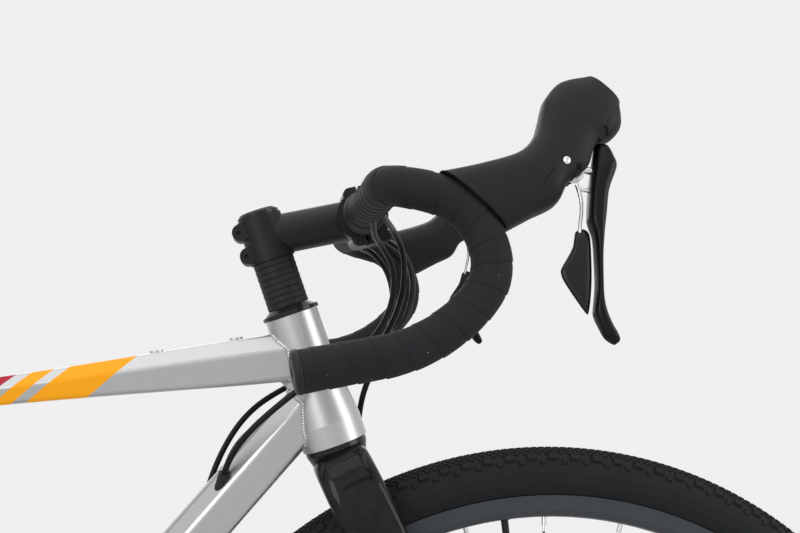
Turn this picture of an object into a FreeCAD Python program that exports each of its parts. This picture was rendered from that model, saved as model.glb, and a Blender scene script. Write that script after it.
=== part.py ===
import FreeCAD, Part
import math
import os
from FreeCAD import Vector

# Gravel bike in millimetres: X ahead, Y to the rider's left, Z up, origin on the ground midway between the axles.

# Frame and fork geometry
tyre_radius = 355.0
tyre_width = 44.0
wheelbase = 1025.0
chainstay_length = 430.0
bb_drop = 70.0
head_angle = 71.0
seat_angle = 74.0
fork_offset = 47.0
fork_length = 393.0
seat_tube_length = 492.0
top_tube_joint = 457.0
seatstay_joint = 432.0

# Gaps between pieces
running_fit = 0.05
seat_gap = 0.3
part_gap = 0.5
snug_gap = 0.1

# Head tube and headset
head_tube_length = 110.0
head_tube_top_diameter = 44.0
head_tube_bottom_diameter = 54.0
head_tube_wall = 2.6
upper_bearing_diameter = 41.0
lower_bearing_diameter = 47.0
bearing_height = 7.0
crown_gap = 4.0
headset_cover_height = 7.0
headset_cover_diameter = 47.0
spacer_count = 8
spacer_height = 5.0
spacer_diameter = 34.0
steerer_diameter = 28.6
steerer_base_diameter = 33.0
steerer_wall = 2.2
top_cap_height = 5.0

# Main tubes
top_tube_below_head_top = 34.0
down_tube_above_head_bottom = 42.0
top_tube_head_height = 40.0
top_tube_head_width = 37.0
top_tube_waist_height = 22.0
top_tube_waist_width = 40.0
top_tube_seat_height = 24.0
top_tube_seat_width = 31.0
down_tube_height = 40.0
down_tube_width = 42.0
tube_wall = 1.8
gusset_thickness = 6.0
seat_tube_diameter = 33.0
bb_shell_diameter = 42.0
bb_shell_width = 68.0
cup_radius = 21.5

# Rear triangle
rear_spacing = 142.0
dropout_thickness = 8.0
chainstay_wall = 1.5
bridge_reach = 27.0
bridge_radius = 7.0
thru_axle_diameter = 12.0
axle_head_radius = 9.0
axle_head_recess = 0.8

# Fork
front_spacing = 100.0
fork_crown_depth = 46.0
fork_crown_height = 30.0
fork_leg_thickness = 18.0
fork_tip_depth = 24.0
fork_tip_thickness = 14.0
fork_clearance_half_width = 32.0

# Stem and handlebar
stem_length = 80.0
stem_drop_angle = 7.0
stem_clamp_height = 37.0
stem_tube_height = 20.0
stem_clamp_diameter = 37.0
stem_tube_diameter = 33.0
bar_clamp_diameter = 31.8
bar_clamp_wall = 5.0
bar_clamp_width = 44.0
faceplate_gap = 2.0
clamp_brow_rear = 12.5
clamp_brow_setback = 3.0
stem_bolt_radius = 2.5
stem_bolt_head_radius = 4.2
stem_bolt_head_height = 4.0
stem_bolt_wall = 1.0
stem_hex_radius = 2.0
stem_hex_depth = 2.5
pinch_lug_radius = 7.0
pinch_lug_width = 26.0
pinch_lug_inset = 0.5
pinch_bolt_spacing = 20.0
pinch_bolt_offset = 1.5
pinch_slit = 3.0
bar_tube_diameter = 23.8
bar_wall = 2.0
bar_bulge_half = 46.0
bar_taper_length = 26.0
bar_width = 420.0
bar_bend_radius = 29.7
bar_ramp_slope = 13.6
bar_upper_hook_radius = 47.6
bar_middle_hook_radius = 34.7
bar_middle_hook_turn = 36.8
bar_lower_hook_radius = 107.6
bar_tail_slope = 10.2
bar_tail_length = 48.7
bar_flare = 14.0
tape_thickness = 2.0
tape_start = 38.0
end_plug_thickness = 4.0

# Levers, from the centre of the bar clamp: ahead, up
lever_pivot = (117.0, 17.0)
hood_wall = 2.4
band_lift = 1.4
band_width = 10.0
lever_pin_radius = 3.0
yoke_width = 8.0
swing_pin_radius = 2.5
paddle_thickness = 4.0

# Wheels
bead_seat_radius = 311.0
rim_flange_height = 6.0
rim_depth = 19.0
rim_width = 28.0
rim_wall = 1.6
tyre_wall = 3.0
spoke_count = 28
spoke_crossings = 2
spoke_diameter = 2.0
nipple_diameter = 4.2
nipple_length = 12.0
nipple_offset = 1.1
flange_thickness = 3.2
rotor_diameter = 160.0
rotor_thickness = 1.8
front_rotor_inset = 10.5
rear_rotor_inset = 15.3
caliper_length = 46.0
caliper_height = 30.0
caliper_width = 28.0
pad_thickness = 3.8
hub_flange_radius = 26.0
spoke_hole_radius = 22.5
rotor_seat_radius = 18.0
hub_end_radius = 9.5
front_flanges = (24.0, -36.0)
rear_flanges = (30.0, -20.0)

# Drivetrain
chain_pitch = 12.7
chain_line = 50.0
roller_radius = 3.85
tooth_thickness = 1.6
tooth_height = 2.6
big_ring_teeth = 46
small_ring_teeth = 30
ring_spacing = 7.0
ring_thickness = 3.0
cog_teeth = [11, 13, 15, 17, 19, 21, 23, 25, 27, 30, 34]
driven_cog = 4
cog_pitch = 3.74
pulley_teeth = 11
crank_length = 170.0
crank_arm_thickness = 13.0
crank_stance = 60.0
spindle_diameter = 24.0
pedal_length = 98.0
pedal_width = 92.0
pedal_height = 17.0
cage_length = 76.0
guide_pulley_ahead = 12.0
guide_pulley_below = 84.0

# Seat
seatpost_diameter = 27.2
seatpost_wall = 2.5
seatpost_insert = 130.0
rail_height = 660.0
saddle_length = 272.0
saddle_width = 146.0
saddle_nose_width = 40.0
saddle_stack = 44.0
rail_diameter = 7.0
rail_spacing = 44.0

# Cables
hose_diameter = 5.0

ACROSS = Vector(0, 1, 0)
AHEAD = Vector(1, 0, 0)
UP = Vector(0, 0, 1)


# Shapes that many pieces share
def unit(vector):
    return Vector(vector) / vector.Length


def cosine(degrees):
    return math.cos(math.radians(degrees))


def sine(degrees):
    return math.sin(math.radians(degrees))


def rod(start, end, radius):
    run = end - start
    return Part.makeCylinder(radius, run.Length, start, run)


def pipe(start, end, outer_radius, inner_radius):
    spill = unit(end - start) * part_gap
    return rod(start, end, outer_radius).cut(rod(start - spill, end + spill, inner_radius))


def cone(start, end, start_radius, end_radius):
    run = end - start
    return Part.makeCone(start_radius, end_radius, run.Length, start, run)


def line(start, end):
    return Part.LineSegment(start, end).toShape()


def arc(start, middle, end):
    return Part.Arc(start, middle, end).toShape()


def square_to(axis):
    guide = AHEAD if abs(axis.x) < 0.9 else UP
    return unit(axis.cross(guide))


def turned(profile, origin, axis):
    """Solid of revolution: profile is a closed list of radius and distance along the axis."""
    out = square_to(axis)
    spots = [origin + out * radius + axis * along for radius, along in profile]
    spots.append(spots[0])
    return Part.Face(Part.makePolygon(spots)).revolve(origin, axis, 360)


def rounded_wire(corners, radius, origin, across, up):
    """Closed outline through corners given along across and up, each corner an arc."""
    spots = [origin + across * a + up * b for a, b in corners]
    count = len(spots)
    arcs = []
    for i, spot in enumerate(spots):
        to_last = spots[i - 1] - spot
        to_next = spots[(i + 1) % count] - spot
        half = to_last.getAngle(to_next) / 2
        reach = min(radius / math.tan(half), 0.48 * min(to_last.Length, to_next.Length))
        bend = reach * math.tan(half)
        middle = spot + unit(unit(to_last) + unit(to_next)) * (bend / math.sin(half) - bend)
        arcs.append((spot + unit(to_last) * reach, middle, spot + unit(to_next) * reach))
    edges = []
    for i, (start, middle, end) in enumerate(arcs):
        edges.append(arc(start, middle, end))
        edges.append(line(end, arcs[(i + 1) % count][0]))
    return Part.Wire(edges)


def box_corners(width, height):
    return [(-width / 2, -height / 2), (width / 2, -height / 2), (width / 2, height / 2), (-width / 2, height / 2)]


def plate(corners, radius, origin, across, up, thickness):
    """Rounded outline made solid, thickness centred on the outline's plane."""
    normal = unit(across.cross(up))
    wire = rounded_wire(corners, radius, origin - normal * (thickness / 2), across, up)
    return Part.Face(wire).extrude(normal * thickness)


def lofted(wires, ruled=False):
    return Part.makeLoft(wires, True, ruled)


def disc_between(centre, axis, outer_radius, inner_radius, thickness):
    start = centre - axis * (thickness / 2)
    return pipe(start, start + axis * thickness, outer_radius, inner_radius)


def mirrored(shape):
    return shape.mirror(Vector(0, 0, 0), ACROSS)


def around(shape, centre, axis, degrees):
    copy = shape.copy()
    copy.rotate(centre, axis, degrees)
    return copy


def swept(edges, radius):
    """Round bar along joined edges."""
    path = Part.Wire(edges)
    first = edges[0]
    start = first.valueAt(first.FirstParameter)
    heading = first.tangentAt(first.FirstParameter)
    profile = Part.Wire([Part.makeCircle(radius, start, heading)])
    return path.makePipeShell([profile], True, False)


def cord(points, diameter, name):
    """Hose along straight runs joined by tangent arcs as large as the runs allow."""
    edges = []
    radii = []
    here = points[0]
    for i in range(1, len(points) - 1):
        corner = points[i]
        to_last = points[i - 1] - corner
        to_next = points[i + 1] - corner
        half = to_last.getAngle(to_next) / 2
        reach = 0.45 * min(to_last.Length, to_next.Length)
        bend = reach * math.tan(half)
        middle = corner + unit(unit(to_last) + unit(to_next)) * (bend / math.sin(half) - bend)
        entry = corner + unit(to_last) * reach
        leave = corner + unit(to_next) * reach
        edges.append(line(here, entry))
        edges.append(arc(entry, middle, leave))
        radii.append(round(bend, 1))
        here = leave
    edges.append(line(here, points[-1]))
    solid = swept(edges, diameter / 2)
    length = sum(edge.Length for edge in edges)
    section = math.pi * diameter ** 2 / 4
    print(name, "length", round(length, 1), "radii", radii, "volume share", round(solid.Volume / (section * length), 4))
    return solid


def save(name, solids):
    os.makedirs("parts", exist_ok=True)
    pieces = []
    for shape in solids:
        pieces.extend(shape.Solids)
    Part.makeCompound(pieces).exportStep("parts/%s.step" % name)


# Main points and directions
axle_height = tyre_radius
rear_axle = Vector(-wheelbase / 2, 0, axle_height)
front_axle = Vector(wheelbase / 2, 0, axle_height)
bb_centre = rear_axle + Vector(math.sqrt(chainstay_length ** 2 - bb_drop ** 2), 0, -bb_drop)
steer_up = Vector(-cosine(head_angle), 0, sine(head_angle))
steer_ahead = Vector(sine(head_angle), 0, cosine(head_angle))
seat_up = Vector(-cosine(seat_angle), 0, sine(seat_angle))
seat_ahead = Vector(sine(seat_angle), 0, cosine(seat_angle))
steer_foot = front_axle - steer_ahead * fork_offset

head_bottom = fork_length + crown_gap
head_top = head_bottom + head_tube_length
cover_bottom = head_top + part_gap
spacer_bottom = cover_bottom + headset_cover_height
stem_bottom = spacer_bottom + spacer_count * spacer_height
stem_middle = stem_bottom + stem_tube_height
stem_top = stem_bottom + stem_clamp_height
stem_rise = 90 - head_angle - stem_drop_angle
stem_ahead = Vector(cosine(stem_rise), 0, sine(stem_rise))
stem_over = Vector(-sine(stem_rise), 0, cosine(stem_rise))


def on_steerer(along):
    return steer_foot + steer_up * along


def on_seat_tube(along):
    return bb_centre + seat_up * along


bar_clamp = on_steerer(stem_middle) + stem_ahead * stem_length
steerer_radius = steerer_diameter / 2
head_top_radius = head_tube_top_diameter / 2
head_bottom_radius = head_tube_bottom_diameter / 2
bb_shell_radius = bb_shell_diameter / 2
seat_tube_radius = seat_tube_diameter / 2
bar_radius = bar_tube_diameter / 2
bar_clamp_radius = bar_clamp_diameter / 2
axle_radius = thru_axle_diameter / 2


# Frame
def facet_wire(centre, up, width, height, corner):
    """Shaped tube section with slanted upper facets and flat, drawn-in flanks."""
    corners = [
        (-0.24 * width, 0.50 * height),
        (-0.50 * width, 0.16 * height),
        (-0.40 * width, -0.50 * height),
        (0.40 * width, -0.50 * height),
        (0.50 * width, 0.16 * height),
        (0.24 * width, 0.50 * height),
    ]
    return rounded_wire(corners, corner, centre, ACROSS, up)


def shaped_tube(stations, up, corner):
    """Hollow tube through stations of centre, width and height: its outside and its bore."""
    outside = lofted([facet_wire(c, up, w, h, corner) for c, w, h in stations])
    inset = 2 * tube_wall
    bore = lofted([facet_wire(c, up, w - inset, h - inset, corner - tube_wall) for c, w, h in stations])
    return outside, bore


def main_triangle():
    axis_bottom = on_steerer(head_bottom)
    lip = bearing_height + 1.0
    head_outside = turned([
        (0, 0),
        (head_bottom_radius, 0),
        (head_bottom_radius, 0.16 * head_tube_length),
        (head_top_radius, 0.55 * head_tube_length),
        (head_top_radius, head_tube_length),
        (0, head_tube_length),
    ], axis_bottom, steer_up)
    head_bore = turned([
        (0, 0),
        (lower_bearing_diameter / 2 + snug_gap, 0),
        (lower_bearing_diameter / 2 + snug_gap, lip),
        (head_bottom_radius - 2 * head_tube_wall, lip + head_tube_wall),
        (head_top_radius - 2 * head_tube_wall, 0.55 * head_tube_length),
        (head_top_radius - 2 * head_tube_wall, head_tube_length - lip - head_tube_wall),
        (upper_bearing_diameter / 2 + snug_gap, head_tube_length - lip),
        (upper_bearing_diameter / 2 + snug_gap, head_tube_length),
        (0, head_tube_length),
    ], axis_bottom, steer_up)
    head_tube = head_outside.cut(head_bore)

    shell_start = bb_centre - ACROSS * (bb_shell_width / 2)
    shell_end = bb_centre + ACROSS * (bb_shell_width / 2)
    shell_outside = rod(shell_start, shell_end, bb_shell_radius)
    bb_shell = pipe(shell_start, shell_end, bb_shell_radius, bb_shell_radius - 4.0)

    seat_outside = rod(bb_centre, on_seat_tube(seat_tube_length), seat_tube_radius)
    seat_bore = rod(bb_centre, on_seat_tube(seat_tube_length + 1), seatpost_diameter / 2 + running_fit)
    seat_tube = seat_outside.cut(seat_bore).cut(shell_outside)

    top_start = on_steerer(head_top - top_tube_below_head_top)
    top_end = on_seat_tube(top_tube_joint)
    top_run = top_end - top_start
    top_up = unit(ACROSS.cross(top_run))
    if top_up.z < 0:
        top_up = top_up * -1
    top_stations = [
        (top_start, top_tube_head_width, top_tube_head_height),
        (top_start + top_run * 0.10, top_tube_head_width, top_tube_head_height * 0.93),
        (top_start + top_run * 0.45, top_tube_waist_width, top_tube_waist_height),
        (top_start + top_run * 0.75, top_tube_waist_width * 0.95, top_tube_waist_height),
        (top_end, top_tube_seat_width, top_tube_seat_height),
    ]
    top_outside, top_bore = shaped_tube(top_stations, top_up, 5.0)
    top_tube = top_outside.cut(top_bore).cut(head_outside).cut(seat_outside)

    down_start = on_steerer(head_bottom + down_tube_above_head_bottom)
    down_run = bb_centre - down_start
    down_up = unit(Vector(-down_run.z, 0, down_run.x))
    if down_up.z < 0:
        down_up = down_up * -1
    down_stations = [
        (down_start, down_tube_width - 4.0, down_tube_height),
        (down_start + down_run * 0.25, down_tube_width, down_tube_height),
        (down_start + down_run * 0.70, down_tube_width, down_tube_height),
        (bb_centre, down_tube_width + 4.0, down_tube_height - 3.0),
    ]
    down_outside, down_bore = shaped_tube(down_stations, down_up, 6.0)
    down_tube = down_outside.cut(down_bore).cut(head_outside).cut(top_outside)
    down_tube = down_tube.cut(shell_outside).cut(seat_outside)
    gusset = plate([(-36, 14), (6, 14), (6, -22)], 1.0, down_start, AHEAD, UP, gusset_thickness)
    gusset = largest(gusset.cut([head_outside, top_outside, down_outside]))
    return {
        "head_tube": head_tube,
        "gusset": gusset,
        "top_tube": top_tube,
        "down_tube": down_tube,
        "seat_tube": seat_tube,
        "bb_shell": bb_shell,
        "seat_outside": seat_outside,
        "shell_outside": shell_outside,
        "down_start": down_start,
        "down_run": down_run,
        "down_up": down_up,
        "top_start": top_start,
        "top_run": top_run,
        "top_up": top_up,
    }


def largest(shape):
    return max(shape.Solids, key=lambda solid: solid.Volume)


def stay(stations, up, corner):
    outside = lofted([rounded_wire(box_corners(w, h), corner, c, ACROSS, up) for c, w, h in stations])
    inset = 2 * chainstay_wall
    inner = [rounded_wire(box_corners(w - inset, h - inset), corner - chainstay_wall, c, ACROSS, up)
             for c, w, h in stations]
    return outside.cut(lofted(inner))


def dropout(side):
    """Left or right rear dropout plate; the right one carries the derailleur hanger."""
    middle = rear_axle + ACROSS * (side * (rear_spacing + dropout_thickness) / 2)
    corners = [(-15, -15), (16, -22), (64, -22), (64, 4), (36, 18), (34, 56), (16, 60), (-10, 18)]
    body = plate(corners, 7.0, middle, AHEAD, UP, dropout_thickness)
    bore = rod(middle - ACROSS * dropout_thickness, middle + ACROSS * dropout_thickness, axle_radius + running_fit)
    return body.cut(bore)


def rear_triangle(main):
    """One chainstay, seatstay and dropout on each side, and the two bridges."""
    shell_outside = main["shell_outside"]
    seat_outside = main["seat_outside"]
    solids = []
    end_y = (rear_spacing + dropout_thickness) / 2
    run = rear_axle - bb_centre
    run_up = unit(Vector(-run.z, 0, run.x)) * -1
    stay_up = run_up if run_up.z > 0 else run_up * -1
    seat_joint = on_seat_tube(seatstay_joint)
    seat_run = rear_axle + Vector(26, 0, 44) - seat_joint
    seat_stay_up = unit(Vector(-seat_run.z, 0, seat_run.x))
    for side in (-1, 1):
        plate_solid = dropout(side)
        chain_stations = [
            (bb_centre + run * 0.02 + ACROSS * side * 25.0, 17.0, 30.0),
            (bb_centre + run * 0.13 + ACROSS * side * 32.5, 15.0, 27.0),
            (bb_centre + run * 0.26 + ACROSS * side * 38.5, 14.0, 24.0),
            (bb_centre + run * 0.60 + ACROSS * side * 60.0, 17.0, 21.0),
            (bb_centre + run * 0.90 + ACROSS * side * end_y, 14.0, 17.0),
        ]
        cup_space = rod(bb_centre + ACROSS * (side * bb_shell_width / 2), bb_centre + ACROSS * (side * crank_stance),
                        cup_radius + seat_gap)
        chainstay = stay(chain_stations, stay_up, 5.5).cut(shell_outside).cut(plate_solid).cut(cup_space)
        seat_stations = [
            (seat_joint + ACROSS * side * 15.0, 12.0, 20.0),
            (seat_joint + seat_run * 0.25 + ACROSS * side * 34.0, 13.0, 17.0),
            (seat_joint + seat_run * 0.62 + ACROSS * side * 56.0, 13.0, 15.0),
            (seat_joint + seat_run * 1.0 + ACROSS * side * end_y, 13.0, 14.0),
        ]
        seatstay = stay(seat_stations, seat_stay_up, 5.0).cut(seat_outside).cut(plate_solid)
        solids.extend([largest(chainstay), largest(seatstay), plate_solid])
    for spot in (bb_centre + run * 0.085, seat_joint + seat_run * 0.12):
        bridge = rod(spot - ACROSS * bridge_reach, spot + ACROSS * bridge_reach, bridge_radius)
        solids.append(largest(bridge.cut(solids)))
    return solids


def headset_bearings():
    """Two angular bearings, each a ring in its seat in the head tube."""
    low = on_steerer(head_bottom + 1.0)
    high = on_steerer(head_top - 1.0)
    base_radius = steerer_base_diameter / 2
    lower = pipe(low, low + steer_up * bearing_height, lower_bearing_diameter / 2, base_radius + seat_gap)
    upper = pipe(high, high - steer_up * bearing_height, upper_bearing_diameter / 2, steerer_radius + seat_gap)
    return [lower, upper]


# Fork, headset and stem
front_reach = front_spacing / 2 + fork_tip_thickness - axle_head_recess
leg_run = unit(front_axle - on_steerer(fork_length - fork_crown_height / 2))
leg_ahead = unit(Vector(-leg_run.z, 0, leg_run.x))


def fork():
    """Crown and both legs as one arch, with the tapered steerer bonded in."""
    crown = on_steerer(fork_length - fork_crown_height / 2)
    leg_length = (front_axle - crown).Length
    shoulder_y = fork_clearance_half_width + fork_leg_thickness / 2
    tip_y = (front_spacing + fork_tip_thickness) / 2
    half = []
    for down, out, thick, depth in [
        (0.115, shoulder_y, fork_leg_thickness, fork_crown_depth),
        (0.30, shoulder_y + 2.5, fork_leg_thickness - 1, 0.84 * fork_crown_depth),
        (0.65, 0.35 * shoulder_y + 0.65 * tip_y, fork_leg_thickness - 3, 0.64 * fork_crown_depth),
        (0.95, tip_y, fork_tip_thickness, fork_tip_depth),
        (1.0 + 14.0 / leg_length, tip_y, fork_tip_thickness, fork_tip_depth),
    ]:
        half.append((crown + leg_run * (leg_length * down), out, thick, depth))
    solids = []
    legs = []
    for side in (-1, 1):
        shoulder = crown + leg_run * (0.02 * leg_length) + ACROSS * side * (0.74 * shoulder_y)
        lean = unit(ACROSS * side - leg_run * 0.9)
        wires = [
            rounded_wire(box_corners(fork_crown_height, fork_crown_depth), 13.0, crown, leg_run * -1, leg_ahead),
            rounded_wire(box_corners(0.85 * fork_crown_height, fork_crown_depth), 11.0, shoulder, lean, leg_ahead),
        ]
        for centre, out, thick, depth in half:
            spot = centre + ACROSS * side * out
            wires.append(rounded_wire(box_corners(thick, depth), 0.42 * thick, spot, ACROSS * side, leg_ahead))
        legs.append(lofted(wires))
    base = on_steerer(fork_length)
    base_radius = steerer_base_diameter / 2
    race_seat = cone(on_steerer(fork_length - 22), base, 0.40 * fork_crown_depth, head_bottom_radius - 1.5)
    lower = on_steerer(head_bottom + bearing_height + 2.0)
    middle = on_steerer(head_bottom + 0.45 * head_tube_length)
    top = on_steerer(stem_top - 2.0)
    steerer = rod(on_steerer(fork_length - 8), lower, base_radius)
    steerer = steerer.fuse([cone(lower, middle, base_radius, steerer_radius), rod(middle, top, steerer_radius)])
    hollow = rod(on_steerer(head_bottom), top + steer_up, steerer_radius - steerer_wall)
    over_crown = rod(base, on_steerer(fork_length + fork_crown_depth), 2 * fork_crown_depth)
    arch = legs[0].fuse([legs[1], race_seat]).cut(over_crown)
    body = arch.fuse(steerer).cut(hollow)
    tip = ACROSS * front_spacing
    head_face = front_axle + ACROSS * front_reach
    head_space = rod(head_face, front_axle + tip, axle_head_radius + seat_gap)
    body = body.cut([rod(front_axle - tip, front_axle + tip, axle_radius + running_fit), head_space])
    solids.append(largest(body))
    return solids


def headset_covers():
    """Crown race on the fork, cover on the upper bearing, and the cap on top of the stem."""
    race = pipe(on_steerer(fork_length), on_steerer(head_bottom - part_gap), head_bottom_radius - 1.5,
                steerer_base_diameter / 2 + snug_gap)
    radius = headset_cover_diameter / 2
    cover = turned([
        (steerer_radius + snug_gap, 0),
        (radius, 0),
        (radius, 0.45 * headset_cover_height),
        (spacer_diameter / 2 + 1.0, headset_cover_height),
        (steerer_radius + snug_gap, headset_cover_height),
    ], on_steerer(cover_bottom), steer_up)
    cap_radius = stem_clamp_diameter / 2 - 1.0
    cap = turned([
        (0, 0),
        (cap_radius, 0),
        (cap_radius, 0.6 * top_cap_height),
        (cap_radius - 2.0, top_cap_height),
        (6.0, top_cap_height),
        (5.0, 0.4 * top_cap_height),
        (0, 0.4 * top_cap_height),
    ], on_steerer(stem_top), steer_up)
    bolt = rod(on_steerer(stem_top + 0.4 * top_cap_height), on_steerer(stem_top + 0.9 * top_cap_height), 4.2)
    socket = rod(on_steerer(stem_top + 0.55 * top_cap_height), on_steerer(stem_top + top_cap_height), 2.2)
    return [race, cover, cap, bolt.cut(socket)]


def headset_spacers():
    rings = []
    for i in range(spacer_count):
        radius = spacer_diameter / 2
        rings.append(turned([
            (steerer_radius + snug_gap, 0),
            (radius - 0.5, 0),
            (radius, 0.5),
            (radius, spacer_height - 0.5),
            (radius - 0.5, spacer_height),
            (steerer_radius + snug_gap, spacer_height),
        ], on_steerer(spacer_bottom + i * spacer_height), steer_up))
    return rings


def stem():
    """Stem body and faceplate with its four bolts; two pinch bolts close the slit at the back."""
    low = on_steerer(stem_bottom)
    high = on_steerer(stem_top)
    half_width = ACROSS * (bar_clamp_width / 2)
    clamp_outer = bar_clamp_radius + bar_clamp_wall
    bolt_height = bar_clamp_radius + stem_bolt_radius + stem_bolt_wall
    brow_half = bolt_height + stem_bolt_head_radius + stem_bolt_wall / 2
    brow_front = clamp_outer - clamp_brow_setback
    body = rod(low, high, stem_clamp_diameter / 2)
    body = body.fuse(rod(on_steerer(stem_middle), bar_clamp, stem_tube_diameter / 2))
    ring = rod(bar_clamp - half_width, bar_clamp + half_width, clamp_outer)
    brow_corners = [(-clamp_brow_rear, -brow_half), (brow_front, -brow_half), (brow_front, brow_half),
                    (-clamp_brow_rear, brow_half)]
    brow = plate(brow_corners, pinch_lug_radius - 1.0, bar_clamp, stem_ahead, stem_over, bar_clamp_width)
    ring = ring.fuse(brow)
    body = body.fuse(ring)
    clamp_middle = on_steerer((stem_bottom + stem_top) / 2)
    clamp_back = clamp_middle - steer_ahead * (stem_clamp_diameter / 2 - pinch_lug_inset)
    lug_half = ACROSS * (pinch_lug_width / 2)
    lugs = []
    for level in (-pinch_bolt_spacing / 2, pinch_bolt_spacing / 2):
        spot = clamp_back + steer_up * level
        lugs.append(rod(spot - lug_half, spot + lug_half, pinch_lug_radius))
    body = body.fuse(lugs)
    bore = rod(low - steer_up, high + steer_up, steerer_radius + running_fit)
    bar_bore = rod(bar_clamp - half_width * 2, bar_clamp + half_width * 2, bar_clamp_radius + running_fit)
    slit = plate(box_corners(stem_clamp_diameter, 2 * stem_clamp_height), 1.0, clamp_back, steer_ahead, steer_up,
                 pinch_slit)
    body = body.cut([bore, bar_bore, slit])
    split = 3 * clamp_outer
    front = plate(box_corners(split, 2 * split), 1.0, bar_clamp + stem_ahead * (split / 2), stem_ahead, stem_over,
                  2 * split)
    front_gap = front.copy()
    front_gap.translate(stem_ahead * (-faceplate_gap / 2))
    front.translate(stem_ahead * (faceplate_gap / 2))
    faceplate = ring.cut(bar_bore).common(front)
    body = body.cut(front_gap)
    bolts = []
    holes = []

    def fasten(tip, head, heading):
        """Bolt from tip to the seat of its head, and the stepped hole that takes it."""
        top = head + heading * stem_bolt_head_height
        shank = rod(tip, head, stem_bolt_radius).fuse(rod(head, top, stem_bolt_head_radius))
        bolts.append(shank.cut(rod(top - heading * stem_hex_depth, top + heading, stem_hex_radius)))
        holes.append(rod(tip - heading, head, stem_bolt_radius + snug_gap))
        holes.append(rod(head, top + heading * pinch_lug_width, stem_bolt_head_radius + snug_gap))

    for high_low in (-1, 1):
        for side in (-1, 1):
            seat = bar_clamp + stem_over * (high_low * bolt_height) + ACROSS * (side * bar_clamp_width * 0.29)
            fasten(seat - stem_ahead * (clamp_brow_rear - 2.5), seat + stem_ahead * (brow_front - 2.0), stem_ahead)
    for level in (-pinch_bolt_spacing / 2, pinch_bolt_spacing / 2):
        spot = clamp_back + steer_up * level - steer_ahead * pinch_bolt_offset
        fasten(spot + lug_half - ACROSS * 2.0, spot - lug_half + ACROSS * stem_bolt_head_height, ACROSS * -1)
    return [largest(body.cut(holes))], [largest(faceplate.cut(holes))] + bolts


# Handlebar, its tape and the levers, made for the right side and mirrored
out_right = Vector(0, -1, 0)
ramp_heading = Vector(cosine(bar_ramp_slope), 0, -sine(bar_ramp_slope))
ramp_down = Vector(-sine(bar_ramp_slope), 0, -cosine(bar_ramp_slope))
hook_down = ramp_down * cosine(bar_flare) + out_right * sine(bar_flare)
hook_out = out_right * cosine(bar_flare) - ramp_down * sine(bar_flare)
bend_start = bar_clamp + out_right * (bar_width / 2 - bar_bend_radius)
ramp_end = bend_start + ramp_heading * bar_bend_radius + out_right * bar_bend_radius


def drop_spot(ahead, up, out=0.0):
    """Point in the right drop's plane, ahead of and above the bar clamp, and out from that plane."""
    flat = Vector(bar_clamp.x + ahead - ramp_end.x, 0, bar_clamp.z + up - ramp_end.z)
    return ramp_end + ramp_heading * flat.dot(ramp_heading) + hook_down * flat.dot(ramp_down) + hook_out * out


def turn_from(start, heading, inward, radius, degrees):
    """Arc that leaves start along heading and turns inward: its edge, end and new directions."""
    half = math.radians(degrees) / 2
    full = math.radians(degrees)
    middle = start + (heading * math.sin(half) + inward * (1 - math.cos(half))) * radius
    end = start + (heading * math.sin(full) + inward * (1 - math.cos(full))) * radius
    new_heading = heading * math.cos(full) + inward * math.sin(full)
    new_inward = inward * math.cos(full) - heading * math.sin(full)
    return arc(start, middle, end), end, new_heading, new_inward


def bar_route(start_y, tail):
    """Edges of the right half of the bar from start_y outwards to its end."""
    start = bar_clamp + out_right * start_y
    bend, bend_end, heading, inward = turn_from(bend_start, out_right, ramp_heading, bar_bend_radius, 90)
    upper, upper_end, heading, inward = turn_from(bend_end, ramp_heading, hook_down, bar_upper_hook_radius,
                                                  90 - bar_ramp_slope)
    middle, middle_end, heading, inward = turn_from(upper_end, heading, inward, bar_middle_hook_radius,
                                                    bar_middle_hook_turn)
    lower, lower_end, heading, inward = turn_from(middle_end, heading, inward, bar_lower_hook_radius,
                                                  90 - bar_middle_hook_turn - bar_tail_slope)
    end = lower_end + heading * tail
    return [line(start, bend_start), bend, upper, middle, lower, line(lower_end, end)], end, heading


def handlebar():
    taper_end = bar_bulge_half + bar_taper_length
    edges, end, heading = bar_route(taper_end, bar_tail_length)
    outside = swept(edges, bar_radius)
    bore_edges, bore_end, heading = bar_route(taper_end, bar_tail_length + 1.0)
    bore = swept(bore_edges, bar_radius - bar_wall)
    right = outside.cut(bore)
    left = mirrored(right)
    bulge = out_right * bar_bulge_half
    taper = out_right * taper_end
    middle = pipe(bar_clamp + bulge, bar_clamp - bulge, bar_clamp_radius, bar_radius - bar_wall)
    sides = []
    for sign in (1, -1):
        skin = cone(bar_clamp + bulge * sign, bar_clamp + taper * sign, bar_clamp_radius, bar_radius)
        hole = rod(bar_clamp + bulge * sign * 0.9, bar_clamp + taper * sign * 1.1, bar_radius - bar_wall)
        sides.append(skin.cut(hole))
    return [middle.fuse(sides + [right, left])]


def tape_outside():
    edges, end, heading = bar_route(bar_bulge_half + bar_taper_length, bar_tail_length - 0.5)
    drop = swept(edges, bar_radius + tape_thickness)
    start = bar_clamp + out_right * tape_start
    step = bar_clamp + out_right * bar_bulge_half
    taper = bar_clamp + out_right * (bar_bulge_half + bar_taper_length)
    collar = rod(start, step, bar_clamp_radius + tape_thickness)
    slope = cone(step, taper, bar_clamp_radius + tape_thickness, bar_radius + tape_thickness)
    return drop.fuse([collar, slope])


def tape_bore():
    edges, end, heading = bar_route(bar_bulge_half + bar_taper_length - 1.0, bar_tail_length + 2.0)
    drop = swept(edges, bar_radius + snug_gap)
    start = bar_clamp + out_right * (tape_start - 1.0)
    step = bar_clamp + out_right * bar_bulge_half
    taper = bar_clamp + out_right * (bar_bulge_half + bar_taper_length)
    collar = rod(start, step, bar_clamp_radius + snug_gap)
    slope = cone(step, taper, bar_clamp_radius + snug_gap, bar_radius + snug_gap)
    return drop.fuse([collar, slope])


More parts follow.
